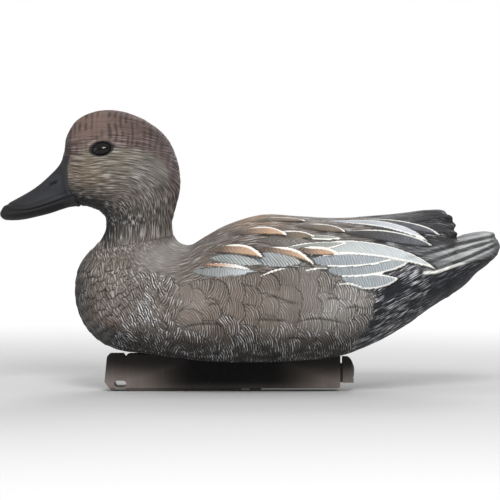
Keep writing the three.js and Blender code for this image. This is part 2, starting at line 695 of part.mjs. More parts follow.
add(keelGroup, "keel_housing", makeKeel(), FINISH.keel);
keelScrews.forEach((keelScrew, i) => {
  add(keelGroup, `keel_screw_${i + 1}`, screw(keelScrew, keelScrew.seat, UP), FINISH.steel);
});
add(keelGroup, "ballast_pad_front", makePad(padFront), FINISH.rubber);
add(keelGroup, "ballast_bar", makeBallastBar(), FINISH.iron);
add(keelGroup, "ballast_pad_rear", makePad(ballastRear + GAP), FINISH.rubber);
add(keelGroup, "end_cap_gasket", makeGasket(), FINISH.rubber);
add(keelGroup, "keel_end_cap", makeEndCap(), FINISH.keel);

export default decoy;
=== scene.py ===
"""The looks of the floating duck decoy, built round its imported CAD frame.

Shapes are worked out in millimetres, in the CAD's own frame: +Z up, -X towards the bill. Both sides of
the bird are alike, so every pattern is laid on its -Y side and mirrored.
"""

import math
from dataclasses import dataclass, replace

import bpy
import numpy as np
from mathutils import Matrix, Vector


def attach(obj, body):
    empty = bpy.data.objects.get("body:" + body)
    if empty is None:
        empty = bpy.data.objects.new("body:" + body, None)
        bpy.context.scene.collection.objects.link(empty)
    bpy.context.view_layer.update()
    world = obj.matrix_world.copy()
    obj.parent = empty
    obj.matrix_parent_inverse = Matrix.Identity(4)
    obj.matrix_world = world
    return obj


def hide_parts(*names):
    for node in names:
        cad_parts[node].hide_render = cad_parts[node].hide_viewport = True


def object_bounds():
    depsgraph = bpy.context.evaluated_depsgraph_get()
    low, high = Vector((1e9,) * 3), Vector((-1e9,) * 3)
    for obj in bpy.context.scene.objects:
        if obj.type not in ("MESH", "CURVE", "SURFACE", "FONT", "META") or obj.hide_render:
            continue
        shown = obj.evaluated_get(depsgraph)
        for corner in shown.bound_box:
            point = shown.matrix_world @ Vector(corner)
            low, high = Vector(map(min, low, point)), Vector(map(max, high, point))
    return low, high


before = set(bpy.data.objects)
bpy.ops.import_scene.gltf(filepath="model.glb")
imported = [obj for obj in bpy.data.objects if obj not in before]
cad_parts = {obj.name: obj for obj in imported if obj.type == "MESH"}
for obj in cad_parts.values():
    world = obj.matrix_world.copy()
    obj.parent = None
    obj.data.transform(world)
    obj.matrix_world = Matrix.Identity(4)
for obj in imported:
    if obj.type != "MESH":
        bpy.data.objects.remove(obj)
cad_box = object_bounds()

MM = 0.001

# ---- small helpers


def linear(*rgb):
    """A colour given as 0-255 sRGB, in the linear values that shaders use."""
    share = np.array(rgb, float) / 255
    return np.where(share <= 0.04045, share / 12.92, ((share + 0.055) / 1.055) ** 2.4)


def smooth(low, high, value):
    """0 below low, 1 above high, and an even curve between them."""
    t = np.clip((value - low) / (high - low), 0, 1)
    return t * t * (3 - 2 * t)


def mix(a, b, share):
    """From colour or number a to b. A share per point mixes colours per point."""
    share = np.asarray(share)
    is_colour = 3 in (np.shape(a)[-1:] + np.shape(b)[-1:])
    if is_colour and share.ndim:
        share = share[..., None]
    return a + (b - a) * share


def hashed(i, j, seed):
    """A repeatable number from 0 to 1 for each pair of whole numbers."""
    wave = np.sin(i * 127.1 + j * 311.7 + seed * 74.7) * 43758.5453
    return wave - np.floor(wave)


def noise(u, v, seed):
    """Smooth noise from 0 to 1 over the plane, with features about one unit across."""
    i, j = np.floor(u), np.floor(v)
    s, t = smooth(0, 1, u - i), smooth(0, 1, v - j)
    low = mix(hashed(i, j, seed), hashed(i + 1, j, seed), s)
    high = mix(hashed(i, j + 1, seed), hashed(i + 1, j + 1, seed), s)
    return mix(low, high, t)


def unit(vectors):
    return vectors / np.maximum(np.linalg.norm(vectors, axis=-1, keepdims=True), 1e-9)


# ---- stations of hull and head

# As in the CAD: x and z of its top and of its bottom, its half-width, where it is widest as a share of
# its height, and the exponents of its outline above and below that
HULL = [
    [198.7, 118, 199.5, 113.4, 9, 0.5, 2, 2],
    [195.6, 123.6, 197, 107.6, 19, 0.6, 2, 2],
    [190, 126.7, 191.5, 102.2, 27, 0.66, 1.9, 1.8],
    [182, 126.4, 182, 94.6, 34, 0.66, 1.8, 1.7],
    [172, 124.6, 172, 84.8, 39, 0.64, 1.7, 1.7],
    [164.8, 122.8, 162.5, 77.6, 42, 0.62, 1.6, 1.7],
    [163.4, 129, 159.8, 75.6, 43, 0.66, 1.45, 1.7],
    [160.6, 138.2, 156.6, 73.4, 44, 0.69, 1.35, 1.7],
    [155, 143.4, 152, 70.6, 45, 0.68, 1.35, 1.7],
    [143, 144, 143, 65, 48, 0.66, 1.45, 1.75],
    [126, 141.4, 126, 53, 54, 0.62, 1.6, 1.8],
    [102, 139.2, 102, 39, 62, 0.58, 1.8, 2],
    [72, 137.7, 72, 27.8, 70, 0.56, 1.9, 2.2],
    [40, 138.8, 40, 24, 75, 0.56, 2, 2.3],
    [9, 140, 5, 22.8, 77.5, 0.56, 2, 2.4],
    [-16, 133, -26, 23.2, 77.5, 0.55, 2, 2.4],
    [-35, 123.2, -56, 26.2, 75, 0.55, 2.1, 2.3],
    [-47.5, 116, -84, 30, 71, 0.54, 2.1, 2.2],
    [-53, 116.4, -107, 33.4, 65.5, 0.54, 2.1, 2.1],
    [-56.2, 117.7, -125, 44.4, 58.5, 0.53, 2.1, 2.1],
    [-57.8, 119, -135.6, 60.6, 51.5, 0.53, 2.1, 2],
    [-58.9, 120.2, -139.2, 78.6, 45.5, 0.52, 2, 2],
    [-59.7, 121.3, -137.4, 94, 40, 0.51, 2, 2],
    [-60.3, 122.4, -133, 105, 36.4, 0.5, 2, 2],
]
HEAD = [
    [-61.8, 128.8, -119.6, 120, 28.8, 0.5, 2, 2],
    [-61.9, 135.2, -115.2, 129.6, 26.6, 0.5, 2, 2],
    [-59.6, 144.8, -115.2, 136.4, 26.4, 0.52, 2, 2],
    [-56.4, 156.8, -117.6, 140.8, 26.8, 0.54, 2, 2],
    [-55.8, 170.4, -121.2, 143.8, 27.6, 0.56, 2, 2.1],
    [-58.8, 186.4, -125.6, 145.6, 28.2, 0.58, 1.9, 2.1],
    [-66.4, 202, -129.6, 146.6, 28.8, 0.6, 1.9, 2.1],
    [-79.2, 213.2, -132.8, 147, 29, 0.61, 1.9, 2.1],
    [-95.2, 221, -136, 147.2, 28.8, 0.62, 1.9, 2.1],
    [-112.8, 224, -138.4, 147, 27.4, 0.62, 1.9, 2.1],
    [-128.4, 221.4, -140.8, 146.7, 25, 0.62, 2, 2.1],
    [-140, 214, -143.2, 146.4, 22, 0.62, 2, 2],
    [-146.4, 203.2, -145.6, 145.9, 18.8, 0.62, 2, 2],
    [-148.6, 190.4, -147.6, 145.3, 16, 0.62, 1.9, 1.9],
    [-151.6, 181.2, -150.8, 144.3, 14.2, 0.64, 1.8, 1.9],
    [-161.6, 170.2, -160, 141.2, 13.4, 0.66, 1.7, 1.9],
    [-172.8, 161, -169.6, 138.8, 14.4, 0.66, 1.7, 1.9],
    [-184, 154.4, -180.8, 136.4, 15.8, 0.64, 1.8, 1.9],
    [-193.6, 149, -191.2, 135.7, 14.6, 0.62, 1.9, 1.9],
    [-197.9, 145.2, -196.8, 136.6, 10.5, 0.6, 2, 2],
    [-199.5, 142.4, -199.3, 138.8, 5, 0.5, 2, 2],
]

NECK_RADIUS = 34.2
NECK_GAP = 0.3  # how much narrower the head's neck is than the hull's
NECK_CENTRE = np.array([-94.3, 0, 117.4])
NECK_LEAN = math.radians(9.8)
NECK_AXIS = np.array([-math.sin(NECK_LEAN), 0, math.cos(NECK_LEAN)])
NECK_BACK = np.array([math.cos(NECK_LEAN), 0, math.sin(NECK_LEAN)])


def neck_station(radius):
    back = NECK_CENTRE + NECK_BACK * radius
    front = NECK_CENTRE - NECK_BACK * radius
    return [*back[[0, 2]], *front[[0, 2]], radius, 0.5, 2, 2]


def curve_through(points, at, centripetal):
    """A Catmull-Rom curve through points, at station numbers that may be fractions."""
    points = np.array(points, float)
    ends = 2 * points[0] - points[1], 2 * points[-1] - points[-2]
    padded = np.vstack([ends[0], points, ends[1]])
    number = np.clip(np.floor(at).astype(int), 0, len(points) - 2)
    w = (at - number)[:, None]
    before, start, end, after = (padded[number + k] for k in range(4))
    if centripetal:
        span = [
            np.maximum(np.linalg.norm(b - a, axis=1, keepdims=True), 1e-6) ** 0.5
            for a, b in ((before, start), (start, end), (end, after))
        ]
        into = (start - before) / span[0] - (end - before) / (span[0] + span[1])
        into = (into + (end - start) / span[1]) * span[1]
        out = (end - start) / span[1] - (after - start) / (span[1] + span[2])
        out = (out + (after - end) / span[2]) * span[1]
    else:
        into, out = (end - before) / 2, (after - start) / 2
    rest = end - start
    return start + w * into + w**2 * (3 * rest - 2 * into - out) + w**3 * (into + out - 2 * rest)


def travelled(points, axis):
    """How far each point is from the first one along the line, or along its line of a grid."""
    steps = np.linalg.norm(np.diff(points, axis=axis), axis=-1)
    return np.insert(np.cumsum(steps, axis=axis), 0, 0, axis=axis)


class Skin:
    """Half of a moulding as a grid of points: rows along its stations, and down each row from the
    top to the bottom on the -Y side, evenly spaced."""

    FINE = 6  # how many times closer than the grid the curves are measured

    def __init__(self, stations, rows, columns):
        tops, bottoms, widths, powers = np.split(np.array(stations, float), 4, axis=1)
        at = self._even_rows(tops, bottoms, rows)
        top, bottom = curve_through(tops, at, True), curve_through(bottoms, at, True)
        half, widest = curve_through(widths, at, False).T
        above, below = curve_through(powers, at, False).T
        angle = np.linspace(0, math.pi, columns * self.FINE)
        rings = [
            self._ring(angle, columns, *section)
            for section in zip(top, bottom, half, widest, above, below)
        ]
        self.points = np.array(rings)
        self.rows, self.columns = rows, columns
        self.measure()

    @staticmethod
    def _even_rows(tops, bottoms, rows):
        number = np.linspace(0, len(tops) - 1, rows * Skin.FINE)
        steps = [
            np.linalg.norm(np.diff(curve_through(ends, number, True), axis=0), axis=1)
            for ends in (tops, bottoms)
        ]
        so_far = np.insert(np.cumsum(np.maximum(*steps)), 0, 0)
        return np.interp(np.linspace(0, so_far[-1], rows), so_far, number)

    @staticmethod
    def _ring(angle, columns, top, bottom, half, widest, above, below):
        sine, cosine = np.sin(angle), np.cos(angle)
        power = 2 / np.where(cosine >= 0, above, below)
        rise = np.abs(cosine) ** power
        depth = np.where(cosine >= 0, widest * (1 - rise), widest + (1 - widest) * rise)
        x = top[0] + (bottom[0] - top[0]) * depth
        z = top[1] + (bottom[1] - top[1]) * depth
        y = -half * np.abs(sine) ** power
        ring = np.stack([x, y, z], axis=1)
        so_far = travelled(ring, 0)
        even = np.linspace(0, so_far[-1], columns)
        return np.stack([np.interp(even, so_far, ring[:, k]) for k in range(3)], axis=1)

    def measure(self):
        """The outward directions, and how far each point is along and round the moulding."""
        along = np.gradient(self.points, axis=0)
        across = np.gradient(self.points, axis=1)
        across[:, [0, -1]] = [0, -1, 0], [0, 1, 0]
        normal = unit(np.cross(along, across))
        from_middle = self.points - self.points.mean(1, keepdims=True)
        self.out = normal * np.sign(np.sum(normal * from_middle, axis=2, keepdims=True))
        self.x, self.y, self.z = np.moveaxis(self.points, 2, 0)
        self.along = travelled(self.points, 0)
        self.round = travelled(self.points, 1)

    def nearest(self, x, z):
        """The row and column of the point that is at (x, z) seen from the -Y side."""
        miss = (self.x - x) ** 2 + (self.z - z) ** 2 + 30 * (self.out[..., 1] > 0.02)
        return np.unravel_index(np.argmin(miss), miss.shape)


def spot(skin, x, z, reach_x, reach_z):
    """1 at (x, z) seen from the side, fading out over the two reaches."""
    return np.exp(-(((skin.x - x) / reach_x) ** 2) - ((skin.z - z) / reach_z) ** 2)


def ridge(gap, width):
    """1 where gap is 0, fading out on both sides of it."""
    return np.exp(-((gap / width) ** 2))


hull_skin = Skin([*HULL, neck_station(NECK_RADIUS)], rows=430, columns=232)
head_skin = Skin([neck_station(NECK_RADIUS - NECK_GAP), *HEAD], rows=360, columns=176)

# ---- a coat of feathers and paint

NO_RIM = 9.0  # an edge distance beyond every rim
SHORTEST = 4  # the least length of a feather in a row
LINE_STEPS = 160
# How dark the painted shadow under raised edges is, and how far it reaches
CAST_SHADE_STRENGTH = 0.8
CAST_SHADE_REACH = 3  # in grid steps
CREAM = (236, 234, 228)
DRY_PAINT = (218, 219, 222)


class Coat:
    """What lies on a skin, point by point: its relief in millimetres, and what the paint shader reads.

    across and along run across and along the barbs, comb is 1 for even barbs and 0 for loose hair,
    edge is the distance from a painted rim and rim that rim's width, tone is 0 for a black rim and 1
    for a white one, dry is how much cream is brushed over the ridges, and cut how deep they are.
    """

    FIELDS = ("across", "along", "comb", "edge", "rim", "tone", "dry", "cut")

    def __init__(self, skin):
        shape = skin.points.shape[:2]
        self.skin = skin
        self.relief = np.zeros(shape)
        self.paint = np.zeros((*shape, 3))
        self.across = skin.round.copy()
        self.along = skin.along.copy()
        self.comb = np.zeros(shape)
        self.edge = np.full(shape, NO_RIM)
        self.rim = np.ones(shape)
        self.tone = np.ones(shape)
        self.dry = np.full(shape, 0.3)
        self.cut = np.ones(shape)

    def spray(self, rgb, share):
        self.paint = mix(self.paint, linear(*rgb), share)


@dataclass
class Style:
    """How one kind of feather looks, in millimetres and degrees. tone, dry, cut and comb are Coat's."""

    root: tuple
    tip: tuple
    rim: float = 0.0
    rim_from: float = 0.02  # the share of its length at which the rim begins
    upper_only: bool = False  # whether only its upper edge has a rim
    tone: float = 1.0
    dry: float = 0.1
    cut: float = 0.5
    comb: float = 1.0
    lift: float = 1.2  # how far it stands up at its tip
    shaft: float = 0.15  # and how much farther its shaft does
    full: float = 0.0  # its outline, from 0 for a leaf to 1 for a blade
    slant: float = 42  # the angle from shaft to barbs
    lines: float = None  # the barbs' own angle seen from the side, where they ignore the shaft
    bow: float = 0.0  # how much such barbs curve, per millimetre
    sway: float = 34  # how much the barbs' angle varies between feathers of a row


def outline(share, full, blunt):
    """How far a feather's edges stand out, from 0 at its root to 1 and back to 0 at its tip."""
    s = np.clip(share, 1e-3, 1 - 1e-3)
    leaf = (4 * s**1.15 * (1 - s**1.15)) ** blunt
    rise = np.sqrt(1 - (1 - np.clip(s / 0.35, 0, 1)) ** 2)
    fall = (1 - np.clip((s - 0.3) / 0.7, 0, 1) ** 2.2) ** 0.75
    return mix(leaf, rise * fall, full)


def lay_feather(coat, ends, up, low, style, tint=1.0, blunt=0.8, turn=0.0):
    """Lays one feather from the first of two surface points to the second.

    up and low are how far its outline stands off the line between them, above and below it. tint
    scales its colours, a small blunt rounds its ends, and turn is added to the slant of its barbs.
    """
    skin = coat.skin
    (i0, j0), (i1, j1) = ends
    root, tip = skin.points[i0, j0], skin.points[i1, j1]
    middle = (i0 + i1) // 2, (j0 + j1) // 2
    length = np.linalg.norm(tip - root)
    if length < 1:
        return
    forward = (tip - root) / length
    side = unit(np.cross(skin.out[middle], forward))
    top = unit(np.cross(forward, side))
    away = skin.points - root
    share = away @ forward / length
    b = away @ side
    near = (share > 0) & (share < 1) & (np.abs(away @ top) < 0.45 * length + 6)
    near &= skin.out @ top > 0.1
    bulge = outline(share, style.full, blunt)
    slope = np.abs(outline(share + 0.01, style.full, blunt) - outline(share - 0.01, style.full, blunt))
    slope /= 0.02 * length
    above = (up * bulge - b) / np.sqrt(1 + (up * slope) ** 2)
    below = (b + low * bulge) / np.sqrt(1 + (low * slope) ** 2)
    inside = near & (above > 0) & (below > 0)
    if not inside.any():
        return
    edge = np.minimum(above, below)[inside]
    a, b, share = (share * length)[inside], b[inside], share[inside]
    spine = 0.5 * (up - low) * bulge[inside]
    off = np.abs(b - spine)
    height = style.lift * (0.2 + 0.8 * share) * (0.35 + 0.65 * smooth(0, 1.3, edge))
    coat.relief[inside] = height + style.shaft * ridge(off, 0.8)
    coat.paint[inside] = tint * mix(linear(*style.root), linear(*style.tip), smooth(0.15, 0.9, share))
    slant = math.radians(style.slant + turn)
    coat.across[inside] = a * math.sin(slant) - off * math.cos(slant)
    coat.along[inside] = a * math.cos(slant) + off * math.sin(slant)
    if style.lines is not None:
        steep = math.radians(style.lines + turn)
        from_middle = away[inside] - 0.5 * (tip - root)
        along = from_middle @ [math.cos(steep), 0, -math.sin(steep)]
        coat.across[inside] = from_middle @ [math.sin(steep), 0, math.cos(steep)] + style.bow * along**2
        coat.along[inside] = along
    coat.comb[inside] = style.comb
    rim_edge = above[inside] if style.upper_only else edge
    fade = smooth(style.rim_from, style.rim_from + 0.28, share)
    coat.edge[inside] = rim_edge if style.rim else NO_RIM
    coat.rim[inside] = np.maximum(style.rim * fade, 0.05)
    coat.tone[inside] = style.tone
    coat.dry[inside] = style.dry
    coat.cut[inside] = style.cut


def lay_listed(coat, feathers, styles):
    """Lays feathers listed as [style, root (x, z), tip (x, z), up, low], each seen from the side."""
    for kind, root, tip, up, low in feathers:
        ends = coat.skin.nearest(*root), coat.skin.nearest(*tip)
        lay_feather(coat, ends, up, low, styles[kind])


def lay_rows(coat, rows, pitch, spread, style_at, seed):
    """Lays like feathers, rearmost first, on a range of the skin's rows.

    pitch is their distance in a row, and spread their half-width as a share of it. style_at(x, z) is
    a feather's style, or None where there is no feather.
    """
    skin = coat.skin
    for number, i in enumerate(rows):
        count = int(skin.round[i, -1] / pitch)
        for k in range(count):
            jitter = hashed(i, k, seed) - 0.5
            j = (k + 0.5 * (number % 2) + 0.35 * jitter) * skin.columns / count
            j = int(min(j, skin.columns - 1))
            style = style_at(skin.x[i, j], skin.z[i, j])
            root = min(i + rows.step, skin.rows - 1), j
            tip_row = max(i - int(rows.step * (0.95 + 0.4 * jitter)), 0)
            tip = tip_row, min(j + int(3 * jitter), skin.columns - 1)
            if style and skin.along[root] - skin.along[tip_row, j] > SHORTEST:
                tint = 0.86 + 0.28 * hashed(k, i, seed + 1)
                half = pitch * spread * (1 + 0.3 * jitter)
                lay_feather(coat, (root, tip), half, half, style, tint, 0.45, style.sway * jitter)


def side_line(points):
    """A smooth line through points (x, z), as many short steps."""
    return curve_through(points, np.linspace(0, len(points) - 1, LINE_STEPS), True)


def level(line, at):
    """The second coordinate of a line of points, where the first one is at."""
    line = np.array(line)
    order = np.argsort(line[:, 0])
    return np.interp(at, line[order, 0], line[order, 1])


def distance_to(points, skin):
    """How far each point is from the line through points, and its share along that line."""
    line = side_line(points)
    gap = np.full(skin.x.shape, np.inf)
    share = np.zeros(skin.x.shape)
    for k, (x, z) in enumerate(line):
        here = np.hypot(skin.x - x, skin.z - z)
        share = np.where(here < gap, k / (len(line) - 1), share)
        gap = np.minimum(gap, here)
    return gap, share


def blotches(base, skin, spots):
    """Spots of colour on a base colour, paint and painted shade alike, each [x, z, reach along x, reach
    along z, colour, strength].
    """
    colour = np.tile(linear(*base), (*skin.x.shape, 1))
    for *place, paint, strength in spots:
        colour = mix(colour, linear(*paint), strength * spot(skin, *place))
    return colour


def cast_shade(coat):
    """Paints shade under every raised edge: a painted shadow that falls downwards and rearwards from it."""
    height = coat.relief
    drop = np.zeros_like(height)
    for step in range(1, CAST_SHADE_REACH + 1):
        for shift, axis in ((step, 1), (-step, 0)):
            drop = np.maximum(drop, np.roll(height, shift, axis) - height - 0.05 * step)
    coat.paint *= (1 - CAST_SHADE_STRENGTH * smooth(0.35, 1.1, drop))[..., None]


def soften(grid):
    """Evens out a grid a little, so that its steps don't look like stairs."""
    for axis in (0, 1):
        grid = 0.5 * grid + 0.25 * (np.roll(grid, 1, axis) + np.roll(grid, -1, axis))
    return grid


# ---- the hull's coat

BROWN = Style((78, 71, 64), (116, 102, 86), rim=3.4, rim_from=0.2, upper_only=True, lift=1.5)
WING = {
    "brown": BROWN,
    "scapular": replace(BROWN, root=(80, 68, 58), tip=(182, 150, 122), rim=3.8, lift=1.8, cut=0.3),
    "flash": Style((160, 122, 96), (214, 214, 212), rim=0.9, upper_only=True, lift=1.2, cut=0.2),
    "plain": Style((90, 84, 78), (112, 108, 102), lift=1.0, cut=0.7, slant=30),
    "grey": Style((122, 127, 126), (152, 157, 155), lift=1.0, cut=0.7, full=0.5, lines=44, sway=0),
    "hatched": Style((134, 138, 141), (146, 148, 146), lift=1.0, cut=0.9, full=0.5, lines=52),
    "pale": Style((112, 114, 114), (168, 173, 176), lift=0.9, cut=0.5, full=0.6, lines=96),
    "mist": Style((114, 117, 110), (148, 152, 145), rim=1.6, lift=1.2, cut=0.3, full=0.6),
    "tertial": Style((170, 175, 174), (186, 191, 193), rim=2.0, lift=1.9, cut=0.3, lines=40, full=1),
    "lower": Style((132, 139, 143), (150, 156, 160), rim=1.9, lift=1.4, cut=0.5, lines=70, full=0.7),
    "dark": Style((56, 54, 54), (84, 86, 92), rim=2.6, upper_only=True, lift=1.6, cut=0.3, full=0.6),
    "silver": Style((156, 160, 166), (190, 194, 200), rim=1.6, lift=1.6, cut=0.2, full=0.7),
    "primary": Style((58, 56, 58), (44, 43, 46), lift=1.4, cut=0.3, slant=25, full=1),
    "crescent": Style((232, 230, 224), (240, 238, 232), lift=1.3, cut=0.0, shaft=0),
}
# In the order in which they overlap
FEATHERS = [
    ["primary", [92, 127], [166.4, 120], 9, 5],
    ["primary", [90, 132], [165, 127], 8, 5],
    ["primary", [88, 136], [161.6, 133.6], 7, 5],
    ["primary", [84, 139], [156, 140], 5, 5],
    ["dark", [76, 136], [150, 124], 7, 3],
    ["silver", [62, 135], [140, 119], 11, -1.4],
    ["dark", [74, 126], [143, 116], 8.6, 4],
    ["lower", [70, 92], [115.2, 91.2], 4, 9],
    ["lower", [60, 98], [124, 104], 6, 8.4],
    ["lower", [47, 105], [113.6, 106.4], 6, 7],
    ["tertial", [48, 109], [144.8, 97.6], 18.6, -4.8],
    ["plain", [4, 120], [50, 118], 7, 6],
    ["mist", [22, 113], [76, 118.4], 4.6, 5],
    ["brown", [34, 131.2], [75.2, 127.2], 10, 2],
    ["mist", [38.4, 124], [72, 121.6], 3.6, 3],
    ["scapular", [32, 112.6], [69.6, 110], 6, 2.2],
    ["hatched", [-4, 106], [41, 104], 8, 5.6],
    ["scapular", [0.8, 112], [49.6, 101.4], 11, -3.4],
    ["grey", [-32, 107.6], [10, 103], 5, 5],
    ["brown", [14, 124], [50.4, 123], 8, 2],
    ["brown", [0, 133.6], [45, 135], 8, 2],
    ["scapular", [-14, 124.4], [29, 124.4], 9, 1.6],
    ["scapular", [-35, 111.4], [10, 107.6], 9.6, 0.8],
    ["pale", [-45, 97.4], [9.6, 96], 2.8, 6.4],
    ["flash", [-37.6, 101.6], [1.6, 97.6], 3.4, 0.6],
]
CRESCENTS = [
    ["crescent", [7, 93], [27.6, 99.6], 2, -0.6],
    ["crescent", [42, 97], [61, 98.6], 2.2, -0.8],
    ["crescent", [65.6, 87.4], [89, 82.4], 3.4, -2],
]
FLANK_ROWS = range(90, 330, 15)
BREAST_ROWS = range(254, 426, 8)
BREAST_END = -55
BELLY_TOP = 48
# The lower edge of the wing, where the flank's feathers begin
WING_EDGE = [
    [-52, 86], [-44, 90], [-10, 94.5], [27, 100], [46, 101], [58, 98.5], [67, 92.5], [80, 85.5], [98, 79],
]
RUMP_EDGE = 97
RUMP_ROUND = 0.018
RUMP_RISE = 28
RUMP_TOP = [[90, 88], [130, 100], [140, 96], [200, 110]]
OVERSPRAY = (-72, 108, 16, 15)  # the smooth grey patch behind the neck, as x, z and its two reaches
BRUSHED_PATCH = (-74, 66, 20, 24)  # where most cream is brushed over the breast

HULL_BASE = (95, 86, 79)
HULL_PAINT_AND_SHADE_SPOTS = [
    # dark paint at the front of the breast, deepened as painted shade where it turns away from the light
    [-142, 80, 20, 60, (28, 24, 22), 0.95],
    [-108, 90, 16, 20, (112, 103, 94), 0.9],
    [-72, 106, 20, 16, (120, 116, 111), 1.0],
    [-106, 124, 34, 10, (86, 80, 75), 0.8],
    [-110, 60, 16, 9, (110, 88, 80), 0.7],
    [-116, 42, 36, 16, (24, 21, 20), 0.95],
    # more painted shade along the breast's front edge
    [-152, 62, 14, 34, (28, 24, 22), 0.9],
    [-78, 70, 26, 20, (104, 100, 96), 0.8],
    [0, 66, 70, 24, (118, 107, 98), 0.8],
    [72, 66, 32, 26, (132, 129, 126), 0.8],
    [-30, 126, 32, 14, (84, 75, 68), 0.7],
    [4, 139, 28, 9, (138, 110, 84), 0.75],
    [66, 110, 44, 13, (116, 116, 112), 0.9],
]
# The small feathers keep the ground's colour, and only the breast's have a rim, a dark one
PLAIN = Style(HULL_BASE, HULL_BASE, tone=0, shaft=0)
BREAST = replace(PLAIN, rim=1.7, rim_from=0.68, lift=1.2, slant=6, comb=0.25, cut=1.3, dry=0.26)
BRUSHED = replace(PLAIN, dry=0.8, lift=0.6, cut=1.8, lines=56, comb=0.7, bow=0.02)
SWEPT = replace(BRUSHED, lines=118)
SIDE = replace(PLAIN, dry=0.15, lift=0.1, cut=0.9, lines=78, sway=110, comb=0.85, bow=0.035)
FLANK = replace(PLAIN, dry=0.6, lift=0.1, cut=1.2, lines=84, sway=50, comb=0.85, bow=0.035)
BELLY = replace(PLAIN, dry=0.8, lift=0.3, cut=1.5, lines=68, sway=60, comb=0.8, bow=0.03)

# The long dark lines where one drift of flank feathers lies over the next
CONTOURS = [
    [[-56, 52], [-44, 56], [-28, 56.8], [-12, 54.4]],
    [[0, 60.8], [16, 60], [32, 59.2]],
    [[9.6, 77.6], [17.6, 78.4], [32, 73.6], [40, 72]],
    [[57.6, 75.2], [64, 76.8], [70.4, 75.2]],
    [[72, 68], [80, 69.6], [94.4, 67.2]],
    [[28, 56], [48, 60.8], [64, 59.2], [80, 55.2]],
    [[24, 44], [36, 45.6], [48, 43.2]],
    [[-33.6, 70.4], [-28, 72.8], [-22.4, 71.2]],
]

TAIL_STREAKS = [
    [[112, 104], [152, 114], [176, 120], [193, 123]],
    [[128, 100], [156, 109], [178, 116], [197, 120.5]],
    [[138, 96], [160, 103], [180, 111], [198, 118]],
]
TAIL_EDGE = [[136, 95.6], [146, 96], [152, 98], [168, 103], [186, 107.5], [196, 111]]


def rump_edge_at(z):
    """Where the brown flank ends and the black rump begins: an edge that bulges backwards."""
    return RUMP_EDGE - RUMP_ROUND * (z - 70) ** 2


def wing_edge_at(x):
    return level(WING_EDGE, x)


def past_flank(skin):
    """How far each point lies behind the frayed edge of the rump, in millimetres."""
    fray = 5 * noise(skin.z / 5, skin.x / 9, 3) + 4 * noise(skin.z / 2, skin.x / 5, 9) - 4.5
    return skin.x - rump_edge_at(np.maximum(skin.z, 40)) - fray


def hull_colours(skin):
    """The sprayed ground colours, with painted shade at the front of the breast, before any feather is
    laid.
    """
    colour = blotches(HULL_BASE, skin, HULL_PAINT_AND_SHADE_SPOTS)
    colour = mix(colour, linear(32, 29, 27), 0.9 * smooth(64, 30, skin.z))
    rump = smooth(-1.5, 1.5, past_flank(skin))
    rump *= smooth(2, -2, skin.z - level(RUMP_TOP, skin.x))
    colour = mix(colour, linear(21, 23, 30), rump)
    upper = smooth(-2, 2, skin.x - RUMP_EDGE) * (1 - rump)
    colour = mix(colour, linear(84, 85, 88), upper)
    return mix(colour, linear(48, 47, 49), upper * smooth(110, 122, skin.z))


def paint_tail(coat):
    """The fan of tail feathers: pale, with dark streaks, a white lower edge and a dark tip."""
    skin = coat.skin
    fan = smooth(132, 150, skin.x) * smooth(-1.2, 0.6, skin.z - level(TAIL_EDGE, skin.x))
    fan *= np.maximum(smooth(161, 166, skin.x), smooth(118, 112, skin.z))
    coat.spray((110, 112, 113), fan)
    coat.cut = mix(coat.cut, 0.35, fan)
    coat.dry = mix(coat.dry, 0.1, fan)
    for streak in TAIL_STREAKS:
        gap, share = distance_to(streak, skin)
        dark = smooth(2.2, 0.7, gap) * smooth(0, 0.35, share) * (skin.x < 196)
        coat.spray((42, 41, 42), 0.9 * dark)
        coat.relief -= 0.7 * dark
        light = smooth(1.4, 0.4, np.abs(gap - 2.4)) * smooth(0.1, 0.4, share) * fan
        coat.spray((176, 178, 178), 0.6 * light)
    gap, share = distance_to(TAIL_EDGE, skin)
    coat.spray(CREAM, 0.85 * smooth(1.6, 0.6, gap) * smooth(0.75, 0.35, share))
    coat.spray((62, 62, 64), 0.8 * smooth(188, 196, skin.x))


def draw_contours(coat):
    """Presses and paints the dark contours, which fade out at both ends."""
    for contour in CONTOURS:
        gap, share = distance_to(contour, coat.skin)
        dark = smooth(1.2, 0.3, gap) * smooth(0, 0.3, share) * smooth(1, 0.7, share)
        coat.spray((46, 40, 36), 0.75 * dark)
        coat.relief -= 0.5 * dark
        coat.dry *= 1 - dark


def flank_style(x, z):
    """The flank's feathers, which reach a little way under the wing and the rump."""
    if not (BREAST_END < x < rump_edge_at(z) + 6 and z < wing_edge_at(x) + 4):
        return None
    if z < BELLY_TOP:
        return BELLY
    return FLANK if x > 42 or z < 58 else SIDE


def breast_style(x, z):
    """The breast's feathers, rimmed in front and brushed behind."""
    if x > BREAST_END or z >= 102 - 0.4 * max(0, x + 95):
        return None
    if x < -91 - 0.5 * (85 - z):
        return BREAST
    return SWEPT if x > -68 else BRUSHED


def rough_ground(coat):
    """The ragged plumage that shows between the feathers: streaming on the rump, smooth at the neck."""
    skin = coat.skin
    rump = smooth(-1.5, 1.5, past_flank(skin)) * smooth(112, 96, skin.z)
    rise = math.radians(RUMP_RISE)
    streaming = skin.z * math.cos(rise) - skin.x * math.sin(rise)
    coat.across = mix(coat.across, 1.4 * streaming, smooth(0.4, 0.6, rump))
    overspray = spot(skin, *OVERSPRAY)
    coat.cut *= 1 - 0.85 * overspray
    under_tail = smooth(138, 146, skin.x)
    coat.dry = mix(coat.dry, mix(0.7, 0.12, under_tail), rump) * (1 - overspray)
    ragged = noise(skin.round / 3.4, skin.along / 22, 7) + 0.5 * noise(skin.round / 1.9, skin.along / 12, 8)
    coat.relief = 0.7 * (ragged - 0.75) * (1 - 0.8 * overspray)


